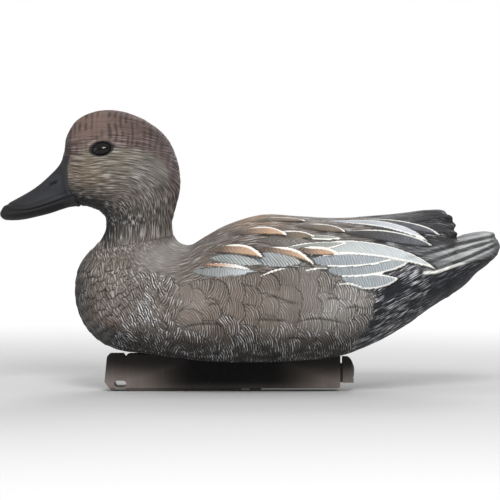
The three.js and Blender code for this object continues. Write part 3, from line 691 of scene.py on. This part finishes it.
def scallop_wing_tips(coat):
    """The notches in the rear edge of the folded wings, above the tail."""
    skin = coat.skin
    edge = smooth(0.2, 0.6, skin.out[..., 0]) * smooth(150, 156, skin.x) * smooth(119, 123, skin.z)
    coat.relief += 1.2 * edge * np.cos(math.tau * (skin.z - 138) / 6.5)


def lay_small_feathers(coat, ground):
    """The flank's and the breast's feathers, in the ground's colours. Returns where they lie."""
    skin = coat.skin
    laid = coat.paint
    coat.paint = ground.copy()
    before = {name: getattr(coat, name).copy() for name in ("relief", *Coat.FIELDS)}
    lay_rows(coat, FLANK_ROWS, 15, 0.7, flank_style, seed=1)
    under_wing = (skin.x > BREAST_END) & (skin.z > wing_edge_at(skin.x))
    hidden = under_wing | (past_flank(skin) > 0)
    for name, values in before.items():
        getattr(coat, name)[hidden] = values[hidden]
    lay_rows(coat, BREAST_ROWS, 9.6, 0.6, breast_style, seed=5)
    covered = (coat.relief != before["relief"]) | (coat.across != before["across"])
    tint = np.clip(coat.paint.mean(2) / np.mean(linear(*HULL_BASE)), 0.92, 1.08)
    coat.paint = np.where(covered[..., None], ground * tint[..., None], laid)
    return covered


def hull_coat(skin):
    """Everything on the hull, in the order in which feathers overlap, from the tail forwards."""
    coat = Coat(skin)
    ground = hull_colours(skin)
    coat.paint = ground.copy()
    rough_ground(coat)
    lay_listed(coat, FEATHERS, WING)
    scallop_wing_tips(coat)
    paint_tail(coat)
    covered = lay_small_feathers(coat, ground)
    lay_listed(coat, CRESCENTS, WING)
    draw_contours(coat)
    cast_shade(coat)
    worn = 0.5 + 0.9 * smooth(0.25, 0.7, noise(skin.x / 22, skin.z / 13, 15))
    coat.cut = np.where(covered & (skin.x > BREAST_END), coat.cut * worn, coat.cut)
    brushed = 1.7 * spot(skin, *BRUSHED_PATCH) * (skin.x < BREAST_END)
    coat.dry = np.maximum(coat.dry, brushed)
    return coat


# ---- the head's coat

EYE_PLACE = (-117.2, 192.8)
EYE_HALF = (7.8, 5.3)
EYE_TILT = math.radians(10)
EYE_LONG = np.array([math.cos(EYE_TILT), 0, math.sin(EYE_TILT)])
EYE_RISE = np.array([-math.sin(EYE_TILT), 0, math.cos(EYE_TILT)])
# The hair sweeps round this centre, on superellipses that are this much longer than high
CHIN_CENTRE = (-130, 132)
SWEEP = 3.6
SWEEP_WIDTH = 1.5
CROWN_HALF = 18
SMOOTH_NAPE = (-70, 178, 9, 11)  # as x, z and its two reaches
CROWN_EDGE = [
    [-150, 187], [-138, 189], [-124, 193], [-108, 196], [-88, 192.6], [-70, 184], [-64, 168], [-60, 140],
    [-58, 116],
]
BILL_BASE = [
    [-144.6, 191], [-143.6, 187], [-144.8, 179], [-144.8, 168], [-143.4, 160], [-139.2, 154], [-135, 149],
]
BILL_TOP = 187
JAW = [[-143, 152.4], [-132, 147.6], [-122, 145], [-116, 137], [-116, 128]]
GAPE = [[-139, 155.6], [-147, 153], [-156, 149.6], [-167, 146], [-178, 143.6], [-193, 144.4]]
NOSTRIL = [[-164, 162.6], [-160, 165.2], [-155.4, 166.6]]


HEAD_BASE = (94, 87, 80)
HEAD_PAINT_AND_SHADE_SPOTS = [
    [-126, 176, 20, 15, (112, 98, 83), 0.95],
    [-100, 182, 26, 13, (124, 118, 106), 0.8],
    [-80, 172, 14, 16, (106, 102, 98), 0.8],
    [-70, 150, 12, 22, (92, 85, 82), 0.6],
    # painted shade on the front of the neck, below the jaw
    [-102, 132, 27, 17, (42, 39, 37), 0.95],
    [-92, 122, 30, 8, (104, 98, 92), 0.7],
]
# A painted shadow at the corner of the crown and the bill, as x, z and its two reaches
FOREHEAD_SHADOW = [-145, 191, 5, 9]


def head_colours(skin):
    """A brown crown with dark bars, a tan cheek that turns grey behind, and a painted shadow under the jaw,
    with how strong its darkest part is.
    """
    colour = blotches(HEAD_BASE, skin, HEAD_PAINT_AND_SHADE_SPOTS)
    wander = 5 * (noise(skin.x / 5, skin.z / 5, 2) - 0.5)
    crown = smooth(-4, 4, skin.z + wander - level(side_line(CROWN_EDGE), skin.x))
    wave = np.sin(math.tau * (skin.x / 4.6 + 0.8 * noise(skin.x / 9, skin.z / 12, 11)))
    bars = smooth(-0.4, 0.9, wave) * smooth(0.1, 0.6, noise(skin.x / 4, skin.z / 5, 12))
    brown = mix(linear(90, 74, 70), linear(103, 84, 77), noise(skin.x / 12, skin.z / 10, 14))
    brown = mix(brown, linear(48, 38, 37), 0.82 * bars)
    brown = mix(brown, linear(88, 79, 78), 0.6 * smooth(-84, -62, skin.x))
    brown = mix(brown, linear(80, 70, 67), 0.7 * smooth(-140, -149, skin.x))
    # The dark brown painted shadow where the crown meets the bill
    brown = mix(brown, linear(46, 38, 36), 0.85 * spot(skin, *FOREHEAD_SHADOW))
    colour = mix(colour, brown, crown)
    # Painted shadow under the jaw and down the throat: darker within 19 mm of the jaw line, near-black
    # within 9 mm of it
    gap, _ = distance_to(JAW, skin)
    colour = mix(colour, linear(40, 37, 35), 0.8 * smooth(19, 6, gap))
    shaded = smooth(9, 3, gap)
    return mix(colour, linear(7, 7, 7), 0.98 * shaded), shaded


def add_eye_socket(coat, seat):
    """A shallow almond bed for the eye, with a lid round it and a crease behind."""
    skin = coat.skin
    gap = skin.points - seat
    u, v = gap @ EYE_LONG / EYE_HALF[0], gap @ EYE_RISE / EYE_HALF[1]
    ring = np.hypot(u, v)
    here = np.where(skin.y < -5, 1.0, 0.0)
    bed = smooth(1.05, 0.8, ring) * here
    lid = ridge(ring - 1.18, 0.13) * here
    crease = ridge(v - 0.25 * (u - 1), 0.16) * smooth(1.0, 1.2, u) * smooth(1.75, 1.3, u) * here
    brow = ridge(ring - 1.5, 0.2) * smooth(0.2, 0.8, v) * here
    coat.relief += 0.35 * lid - 2.6 * bed - 0.6 * crease
    surround = smooth(1.42, 1.22, ring + 0.1 * np.abs(v)) * here
    coat.spray((13, 12, 12), np.clip(surround + crease, 0, 1))
    coat.spray((140, 126, 118), 0.35 * brow)
    coat.cut *= 1 - np.clip(lid + bed, 0, 1)
    coat.dry *= 1 - np.clip(lid + bed + 0.6 * brow, 0, 1)


def add_bill(coat):
    """A smooth slate bill with a raised base, a nostril in its groove and a double ridge at the gape."""
    skin = coat.skin
    front = level(side_line(BILL_BASE)[:, ::-1], skin.z) - skin.x
    front = np.where(skin.z > BILL_TOP, -1, front)
    bill = smooth(-0.5, 0.5, front)
    slate = mix(linear(26, 26, 30), linear(48, 50, 56), 0.5 * noise(skin.x / 14, skin.z / 5, 21))
    slate = mix(slate, linear(14, 14, 16), 0.85 * smooth(152, 145, skin.z))
    coat.paint = mix(coat.paint, slate, bill)
    coat.cut = mix(coat.cut, 0.0, bill)
    coat.dry = mix(coat.dry, 0.0, bill)
    coat.relief *= 1 - bill
    coat.relief += 0.5 * ridge(front - 2, 1.4) - 0.9 * ridge(front, 0.8)
    gap, share = distance_to(GAPE, skin)
    above = skin.z - level(GAPE, skin.x)
    along = smooth(0.0, 0.05, share) * (skin.out[..., 2] > -0.9)
    coat.relief -= 1.1 * ridge(gap, 0.7) * along
    coat.relief += (0.45 * ridge(above - 2.2, 1.1) - 0.5 * ridge(above - 4.4, 0.7)) * bill * along
    groove, _ = distance_to(NOSTRIL, skin)
    hole, _ = distance_to(NOSTRIL[1:], skin)
    coat.relief -= (1.3 * ridge(groove, 2.2) + 1.5 * ridge(hole, 1.0)) * bill
    coat.spray((8, 8, 9), smooth(1.7, 0.6, hole) * bill)


def head_coat(skin):
    """Hair that sweeps round from the bill, over the cheek and down the neck."""
    coat = Coat(skin)
    dx, dz = (skin.x - CHIN_CENTRE[0]) / SWEEP_WIDTH, np.maximum(skin.z - CHIN_CENTRE[1], 0)
    radius = (np.abs(dx) ** SWEEP + dz**SWEEP) ** (1 / SWEEP)
    coat.across = 1.6 * (radius + 2.2 * noise(skin.x / 16, skin.z / 16, 4))
    coat.along = np.arctan2(dx, dz) * 64 + np.maximum(CHIN_CENTRE[1] - skin.z, 0)
    coat.across += 1.3 * (skin.y + CROWN_HALF) * smooth(190, 212, skin.z)
    coat.paint, shaded = head_colours(skin)
    crown = smooth(196, 208, skin.z)
    throat = smooth(164, 140, skin.z)
    coat.dry = mix(mix(0.16, 0.3, throat), 0.0, crown) * (1 - 0.5 * smooth(-96, -60, skin.x))
    coat.dry *= 1 - 0.85 * shaded
    smoothed = spot(skin, *SMOOTH_NAPE)
    coat.cut = (1 - 0.8 * smoothed) * mix(1.25, mix(0.3, 0.8, smooth(-116, -100, skin.x)), crown)
    ridges = noise(coat.across / 1.25, coat.along / 8, 31)
    coat.relief = 0.75 * (ridges - 0.5) * (1 - 0.7 * smoothed)
    add_bill(coat)
    add_eye_socket(coat, skin.points[skin.nearest(*EYE_PLACE)])
    return coat


# ---- from grids to meshes


def mirrored(half):
    """A half grid and its copy for the other side, as closed rings."""
    return np.concatenate([half, half[:, -2:0:-1]], axis=1)


def bake_map(rows, around):
    """Where the corners of a grid mesh's faces lie in a unit square: rows across it, rings up it."""
    u, v = np.meshgrid(np.arange(rows - 1), np.arange(around), indexing="ij")
    square = (0, 0), (1, 0), (1, 1), (0, 1)
    quads = np.stack([np.stack([u + a, v + b], axis=-1) for a, b in square], axis=2)
    corners = [quads.reshape(-1, 2)]
    for row, pole, second, third in ((0, -1, 0, 1), (rows - 1, rows, 1, 0)):
        cap = [(pole, 0.5), (row, second), (row, third)]
        corners.append(np.array([[(a, j + b) for a, b in cap] for j in range(around)]).reshape(-1, 2))
    return (np.concatenate(corners) + [1.5, 0.5]) / [rows + 2, around + 1]


def grid_mesh(name, rings):
    """A closed mesh through the rings, with a point in the middle of the first and of the last."""
    rows, around = rings.shape[:2]
    points = np.concatenate([rings.reshape(-1, 3), rings[[0, -1]].mean(1)])
    i, j = np.meshgrid(np.arange(rows - 1), np.arange(around), indexing="ij")
    k = (j + 1) % around
    quads = np.stack([i * around + j, (i + 1) * around + j, (i + 1) * around + k, i * around + k], axis=-1)
    j, k = j[0], k[0]
    first, last = np.full(around, rows * around), np.full(around, rows * around + 1)
    base = (rows - 1) * around
    caps = np.concatenate([np.stack([first, j, k], axis=1), np.stack([last, base + k, base + j], axis=1)])
    mesh = bpy.data.meshes.new(name)
    mesh.from_pydata((points * MM).tolist(), [], quads.reshape(-1, 4).tolist() + caps.tolist())
    layer = mesh.uv_layers.new(name="OFBake")
    layer.data.foreach_set("uv", bake_map(rows, around).astype(np.float32).ravel())
    mesh.shade_smooth()
    mesh.update()
    return mesh


def set_field(mesh, name, values):
    """Stores a number or a colour for each point of a grid mesh, with the end points like the first
    and the last of the others."""
    flat = values.reshape(-1, *values.shape[2:])
    flat = np.concatenate([flat, flat[[0, -1]]])
    kind, slot = "FLOAT", "value"
    if flat.ndim > 1:
        flat = np.pad(flat, ((0, 0), (0, 1)), constant_values=1)
        kind, slot = "FLOAT_COLOR", "color"
    attribute = mesh.attributes.new(name, kind, "POINT")
    attribute.data.foreach_set(slot, flat.astype(np.float32).ravel())


def show(name, mesh, body, material, node):
    """Puts a mesh in the scene as a piece that rides on a body and takes the place of a CAD node."""
    piece = bpy.data.objects.new(name, mesh)
    bpy.context.scene.collection.objects.link(piece)
    mesh.materials.append(material)
    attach(piece, body)
    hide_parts(node)


def ring_steps(ring, steps):
    """Copies of a ring at other [share of its size, height along the neck's axis] steps."""
    middle = ring.mean(0) * [1, 0, 1]
    return np.array([middle + (ring - middle) * share + NECK_AXIS * height for share, height in steps])


def coated_mesh(name, coat, first_steps, last_steps):
    """The skin with its relief, and the rings that close its first and its last row."""
    skin = coat.skin
    numbers = np.arange(skin.rows)
    ends = smooth(0, 5, np.minimum(numbers, numbers[::-1]))[:, None]
    points = skin.points + skin.out * (soften(coat.relief) * ends)[..., None]
    low, high = (np.array(corner) / MM for corner in cad_box)
    points = np.clip(points, low + 0.02, high - 0.02)
    points[:, [0, -1], 1] = 0
    half = np.concatenate([ring_steps(points[0], first_steps), points, ring_steps(points[-1], last_steps)])
    rings = mirrored(half)
    rings[:, skin.columns :, 1] *= -1
    mesh = grid_mesh(name, rings)
    added = [(len(first_steps), len(last_steps)), (0, 0)]
    for field in Coat.FIELDS:
        set_field(mesh, field, mirrored(np.pad(getattr(coat, field), added, mode="edge")))
    set_field(mesh, "paint", mirrored(np.pad(coat.paint, [*added, (0, 0)], mode="edge")))
    return mesh


# ---- shader building blocks


class Nodes:
    """Short ways to add nodes to a node tree.

    An input is given by its name, or as i and its number. Colours are 0-255 sRGB.
    """

    def __init__(self, tree):
        self.tree = tree

    def add(self, kind, output=0, settings=None, **inputs):
        node = self.tree.nodes.new("ShaderNode" + kind)
        for key, value in (settings or {}).items():
            setattr(node, key, value)
        for key, value in inputs.items():
            self.put(node, int(key[1:]) if key[0] == "i" and key[1:].isdigit() else key, value)
        return node.outputs[output]

    def put(self, node, key, value):
        socket = node.inputs[key]
        if isinstance(value, bpy.types.NodeSocket):
            self.tree.links.new(value, socket)
        elif socket.type == "RGBA":
            socket.default_value = (*linear(*value), 1)
        else:
            socket.default_value = value

    def math(self, operation, a, b=0.0, c=0.0):
        return self.add("Math", settings={"operation": operation}, i0=a, i1=b, i2=c)

    def times(self, a, b, plus=0.0):
        return self.math("MULTIPLY_ADD", a, b, plus)

    def field(self, name, output="Fac"):
        return self.add("Attribute", output=output, settings={"attribute_name": name})

    def ramp(self, value, low, high, start=0.0, end=1.0):
        """An even curve from start, where the value is low, to end, where it is high."""
        settings = {"interpolation_type": "SMOOTHSTEP", "clamp": True}
        return self.add("MapRange", settings=settings, i0=value, i1=low, i2=high, i3=start, i4=end)

    def mix(self, share, a, b):
        return self.add("Mix", output=2, settings={"data_type": "RGBA"}, i0=share, i6=a, i7=b)

    def between(self, share, a, b):
        return self.add("Mix", settings={"data_type": "FLOAT"}, i0=share, i2=a, i3=b)

    def noise(self, scale, detail=2.0, vector=None):
        """Noise over the object's own frame in millimetres, or over another vector."""
        return self.add("TexNoise", Vector=vector or self.place(), Scale=scale, Detail=detail)

    def place(self, stretch=(1, 1, 1)):
        """The point in the object's own frame, in millimetres, stretched."""
        at = self.add("TexCoord", output="Object")
        scale = [share / MM for share in stretch]
        return self.add("VectorMath", settings={"operation": "MULTIPLY"}, i0=at, i1=scale)


class Shader(Nodes):
    """A node material with a Principled shader."""

    def __init__(self, name):
        self.material = bpy.data.materials.new(name)
        self.material.use_nodes = True
        super().__init__(self.material.node_tree)
        self.principled = self.tree.nodes["Principled BSDF"]

    def set(self, **inputs):
        for key, value in inputs.items():
            self.put(self.principled, key.replace("_", " "), value)

    def bump(self, height, distance):
        self.set(Normal=self.add("Bump", Height=height, Distance=distance * MM, Strength=1.0))


BARB_PITCH = 1.9


def painted_plastic(name):
    """Matt paint over moulded barbs: darker in the grooves and lighter on the crests, with cream brushed
    over the ridges.
    """
    s = Shader(name)
    across, cut, tone = s.field("across"), s.field("cut"), s.field("tone")

    lines = s.add("CombineXYZ", X=across, Y=s.times(s.field("along"), 0.09))
    hair = s.ramp(s.noise(1.0, detail=1.5, vector=lines), 0.3, 0.7)
    wobble = s.times(s.noise(0.16), 9.0)
    wave = s.math("SINE", s.times(across, math.tau / BARB_PITCH, wobble))
    barbs = s.times(s.times(wave, 0.5, 0.5), 0.65)
    barbs = s.times(hair, 0.35, barbs)
    crest = s.between(s.field("comb"), hair, barbs)

    # Darker in the grooves and lighter on the crests, by how deep the barbs are cut
    groove_contrast = s.times(s.math("SUBTRACT", crest, 0.5), s.times(cut, 1.15))
    mottle = s.times(s.noise(0.07, detail=4.0), 0.5, 0.76)
    light = s.times(s.math("ADD", groove_contrast, 1.0), mottle)
    scaled = {"operation": "SCALE"}
    colour = s.add("VectorMath", settings=scaled, Vector=s.field("paint", "Color"), Scale=light)

    patchy = s.ramp(s.noise(0.09, detail=3.0), 0.36, 0.62)
    brushed = s.times(s.ramp(crest, 0.52, 0.9), s.times(s.field("dry"), patchy))
    colour = s.mix(brushed, colour, DRY_PAINT)

    frayed = s.times(s.noise(0.5), 0.7, s.field("edge"))
    frayed = s.math("SUBTRACT", frayed, 0.35)
    line = s.ramp(s.math("SUBTRACT", 1.0, s.math("DIVIDE", frayed, s.field("rim"))), 0.0, 0.45)
    line_colour = s.mix(tone, (24, 20, 18), CREAM)
    colour = s.mix(s.times(line, s.between(tone, 0.8, 0.92)), colour, line_colour)

    s.set(Base_Color=colour, Roughness=s.times(mottle, 0.18, 0.5), Specular_IOR_Level=0.35)
    s.bump(s.times(crest, cut), 0.55)
    return s.material


def wear(s):
    """Where moulded plastic is dusty, and where it is rubbed into upright streaks."""
    speck = s.ramp(s.noise(0.9), 0.66, 0.78)
    streak = s.ramp(s.noise(0.6, detail=3.0, vector=s.place((0.5, 1, 0.06))), 0.45, 0.75)
    return speck, streak


def swivel_plastic(name):
    """Dark bare plastic with a faint grain, lighter in places."""
    s = Shader(name)
    cloud = s.ramp(s.noise(0.03, detail=4.0), 0.35, 0.68)
    speck, streak = wear(s)
    colour = s.mix(cloud, (38, 38, 42), (46, 46, 50))
    colour = s.mix(s.times(streak, 0.22), colour, (84, 76, 70))
    dusty = s.times(speck, s.times(cloud, 0.35))
    s.set(Base_Color=s.mix(dusty, colour, (130, 122, 114)))
    s.set(Roughness=s.times(cloud, -0.12, 0.51))
    s.bump(s.noise(1.6, detail=3.0), 0.06)
    return s.material


def keel_plastic(name):
    """Brown-grey plastic, with a near-black painted shade that is thickest in the middle and up under the
    hull.
    """
    s = Shader(name)
    x, z = (s.add("SeparateXYZ", output=axis, Vector=s.place()) for axis in (0, 2))
    # Painted shade: dark over the keel's middle, most of all higher up, and over its top under the
    # overhanging hull, except at its rear end
    middle = s.ramp(s.math("ABSOLUTE", s.math("ADD", x, 14.0)), 92.0, 30.0)
    spray = s.times(middle, s.ramp(z, 0.0, 8.0, 0.7, 1.0))
    shade_under_hull = s.times(s.ramp(z, 4.0, 24.0, 0.0, 0.9), s.ramp(x, 86.0, 80.0))
    spray = s.math("MAXIMUM", spray, shade_under_hull)
    cloud = s.ramp(s.noise(0.03, detail=4.0), 0.3, 0.7)
    speck, streak = wear(s)
    colour = s.mix(cloud, (102, 94, 90), (120, 110, 105))
    colour = s.mix(s.times(streak, 0.3), colour, (140, 130, 124))
    # The near-black painted shade
    colour = s.mix(spray, colour, (8, 7, 7))
    s.set(Base_Color=s.mix(s.times(speck, 0.3), colour, (126, 118, 112)))
    s.set(Roughness=s.times(cloud, -0.12, 0.7), Specular_IOR_Level=0.25)
    s.bump(s.noise(1.6, detail=3.0), 0.06)
    return s.material


def rubber(name):
    s = Shader(name)
    grain = s.noise(1.3, detail=3.0)
    s.set(Base_Color=s.mix(grain, (20, 20, 21), (48, 47, 46)))
    s.set(Roughness=s.times(grain, 0.2, 0.65))
    s.bump(grain, 0.08)
    return s.material


def metal(name, bright, dull, roughness):
    s = Shader(name)
    grain = s.noise(1.8, detail=4.0, vector=s.place((1, 1, 0.2)))
    s.set(Base_Color=s.mix(grain, dull, bright), Metallic=1.0)
    s.set(Roughness=s.times(grain, 0.25, roughness))
    s.bump(grain, 0.05)
    return s.material


def eye_gloss(name):
    """Near-black glass with a dark brown depth."""
    s = Shader(name)
    depth = s.noise(0.5, detail=3.0)
    s.set(Base_Color=s.mix(depth, (6, 6, 8), (24, 17, 14)))
    s.set(Roughness=s.times(depth, 0.06, 0.12))
    s.set(Specular_IOR_Level=0.25)
    return s.material


# ---- the pieces

HULL_PAINT = painted_plastic("hull_painted_plastic")
HEAD_PAINT = painted_plastic("head_painted_plastic")
KEEL_PLASTIC = keel_plastic("keel_plastic")
SWIVEL_PLASTIC = swivel_plastic("swivel_plastic")
RUBBER = rubber("black_rubber")
STEEL = metal("screw_steel", (196, 198, 200), (140, 142, 145), 0.25)
IRON = metal("ballast_iron", (96, 94, 92), (58, 52, 48), 0.5)
EYE = eye_gloss("eye_gloss")

# The rounded ends of tail and bill, and the flat recesses in which the swivel's halves sit, as [share
# of the ring's size, height along the neck's axis]
ROUND_END = [(0.05, 0), (0.4, 0), (0.7, 0), (0.88, 0), (0.97, 0)]
SOCKET_BED = [(0.995, -0.1), (0.85, -0.1), (0.845, -0.4), (0.845, -4.1), (0.6, -4.2), (0.05, -4.2)]
SPIGOT_BED = [(0.05, 4.3), (0.5, 4.3), (0.756, 4.2), (0.76, 0.3), (0.78, 0.02), (0.99, 0.02)]
SEAM = 0.12  # the gap between head and hull

EYE_TALL = 4.2  # the height of the eye's dome, half of which is sunk into its socket
EYE_POINTED = 0.12  # how much its ends are pinched


def make_hull():
    mesh = coated_mesh("hull", hull_coat(hull_skin), ROUND_END, SOCKET_BED)
    show("hull", mesh, "float", HULL_PAINT, "body_shell")


def make_head():
    height = (head_skin.points - NECK_CENTRE) @ NECK_AXIS
    lift = np.maximum(SEAM - height, 0)[..., None]
    head_skin.points = head_skin.points + lift * NECK_AXIS
    head_skin.measure()
    mesh = coated_mesh("head", head_coat(head_skin), SPIGOT_BED, ROUND_END[::-1])
    show("head", mesh, "head", HEAD_PAINT, "head_shell")


def make_eye(node, side):
    """An almond dome that stands a little out of its socket. side is 1 for -Y and -1 for +Y."""
    seat_at = head_skin.nearest(*EYE_PLACE)
    seat, out = head_skin.points[seat_at], head_skin.out[seat_at]
    long = unit(EYE_LONG - out * (EYE_LONG @ out))
    tall = np.cross(out, long)
    turn = np.linspace(0, math.tau, 64, endpoint=False)
    dome = []
    for angle in np.linspace(0.02, math.pi / 2, 20):
        reach, height = math.sin(angle), EYE_TALL * math.cos(angle) - EYE_TALL / 2
        u, v = EYE_HALF[0] * reach * np.cos(turn), EYE_HALF[1] * reach * np.sin(turn)
        v = v * (1 - EYE_POINTED * np.abs(np.cos(turn)) ** 3)
        dome.append(seat + np.outer(u, long) + np.outer(v, tall) + height * out)
    dome.append(seat + (dome[-1] - seat) * 0.9 - out * 1.2)
    dome = np.array(dome)[:, ::side] * [1, side, 1]
    mesh = grid_mesh(node + "_dome", dome)
    show(node + "_dome", mesh, "head", EYE, node)


# The radii of their rounded edges
ROUNDED = {"keel_housing": 0.5, "keel_end_cap": 0.5, "blow_hole_plug": 0.25}


def finish_cad_nodes():
    """The inner and lower pieces whose CAD shape is right keep it, and get their material."""
    looks = {
        "neck_socket": SWIVEL_PLASTIC,
        "neck_spigot": SWIVEL_PLASTIC,
        "neck_friction_washer": RUBBER,
        "blow_hole_plug": RUBBER,
        "end_cap_gasket": RUBBER,
        "ballast_pad_front": RUBBER,
        "ballast_pad_rear": RUBBER,
        "ballast_bar": IRON,
        "keel_housing": KEEL_PLASTIC,
        "keel_end_cap": KEEL_PLASTIC,
    }
    for name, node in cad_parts.items():
        if "screw" in name:
            looks[name] = STEEL
        if name in looks:
            node.data.materials.clear()
            node.data.materials.append(looks[name])
        if name in ROUNDED:
            bevel = node.modifiers.new("rounded_edges", "BEVEL")
            bevel.width, bevel.segments = ROUNDED[name] * MM, 2
            bevel.limit_method, bevel.angle_limit = "ANGLE", math.radians(35)


make_hull()
make_head()
make_eye("left_eye", 1)
make_eye("right_eye", -1)
finish_cad_nodes()

# ---- floor, light and camera


WHITE = (255, 255, 255)
FLOOR_SIZE = 12
FLOOR_GAP = 0.0004
FLOOR_FADE = (300, 1100)


def add_floor():
    """A pale sheet that turns white away from the decoy, like a photographer's paper sweep."""
    bpy.ops.mesh.primitive_plane_add(size=FLOOR_SIZE, location=(0, 0, -FLOOR_GAP))
    floor = bpy.context.object
    floor.name = "floor"
    s = Shader("pale_floor")
    reach = s.add("VectorMath", output=1, settings={"operation": "LENGTH"}, i0=s.place())
    far = s.ramp(reach, *FLOOR_FADE)
    s.set(Base_Color=s.mix(far, (196, 196, 196), (0, 0, 0)), Roughness=0.9, Specular_IOR_Level=0.1)
    s.set(Emission_Color=WHITE, Emission_Strength=far)
    floor.data.materials.append(s.material)


LIGHT_AIM = (0, 0, 0.1)


def add_light(name, place, size, power):
    """A round soft light that is aimed at the decoy's middle."""
    light = bpy.data.lights.new(name, "AREA")
    light.shape = "DISK"
    light.size = size
    light.energy = power
    lamp = bpy.data.objects.new(name, light)
    bpy.context.scene.collection.objects.link(lamp)
    lamp.location = place
    lamp.rotation_euler = (Vector(LIGHT_AIM) - Vector(place)).to_track_quat("-Z", "Y").to_euler()


def add_world():
    """A white surround, which as light is bright overhead and dim near the ground."""
    world = bpy.data.worlds.new("studio")
    bpy.context.scene.world = world
    world.use_nodes = True
    n = Nodes(world.node_tree)
    height = n.add("SeparateXYZ", output=2, Vector=n.add("TexCoord"))
    overhead = n.ramp(height, -0.3, 0.9, 0.08, 0.62)
    seen = n.add("LightPath")
    background = world.node_tree.nodes["Background"]
    n.put(background, "Color", WHITE)
    n.put(background, "Strength", n.between(seen, overhead, 1.0))


def add_camera():
    """Nearly level with the decoy and square to its side, from far off."""
    lens, sensor, view_width, aim_height, rise = 180, 36, 0.4, 0.112, math.radians(1.5)
    distance = view_width * lens / sensor
    data = bpy.data.cameras.new("camera")
    data.lens, data.sensor_width = lens, sensor
    camera = bpy.data.objects.new("camera", data)
    bpy.context.scene.collection.objects.link(camera)
    camera.location = (0, -distance * math.cos(rise), aim_height + distance * math.sin(rise))
    camera.rotation_euler = (math.pi / 2 - rise, 0, 0)
    bpy.context.scene.camera = camera


add_floor()
add_light("key", (0.1, -1.35, 1.05), 0.6, 22)
add_light("fill", (-1.5, -0.8, 0.7), 1.2, 7)
add_light("back", (0.4, 1.4, 1.0), 1.0, 15)
add_world()
add_camera()
bpy.context.scene.view_settings.view_transform = "Standard"
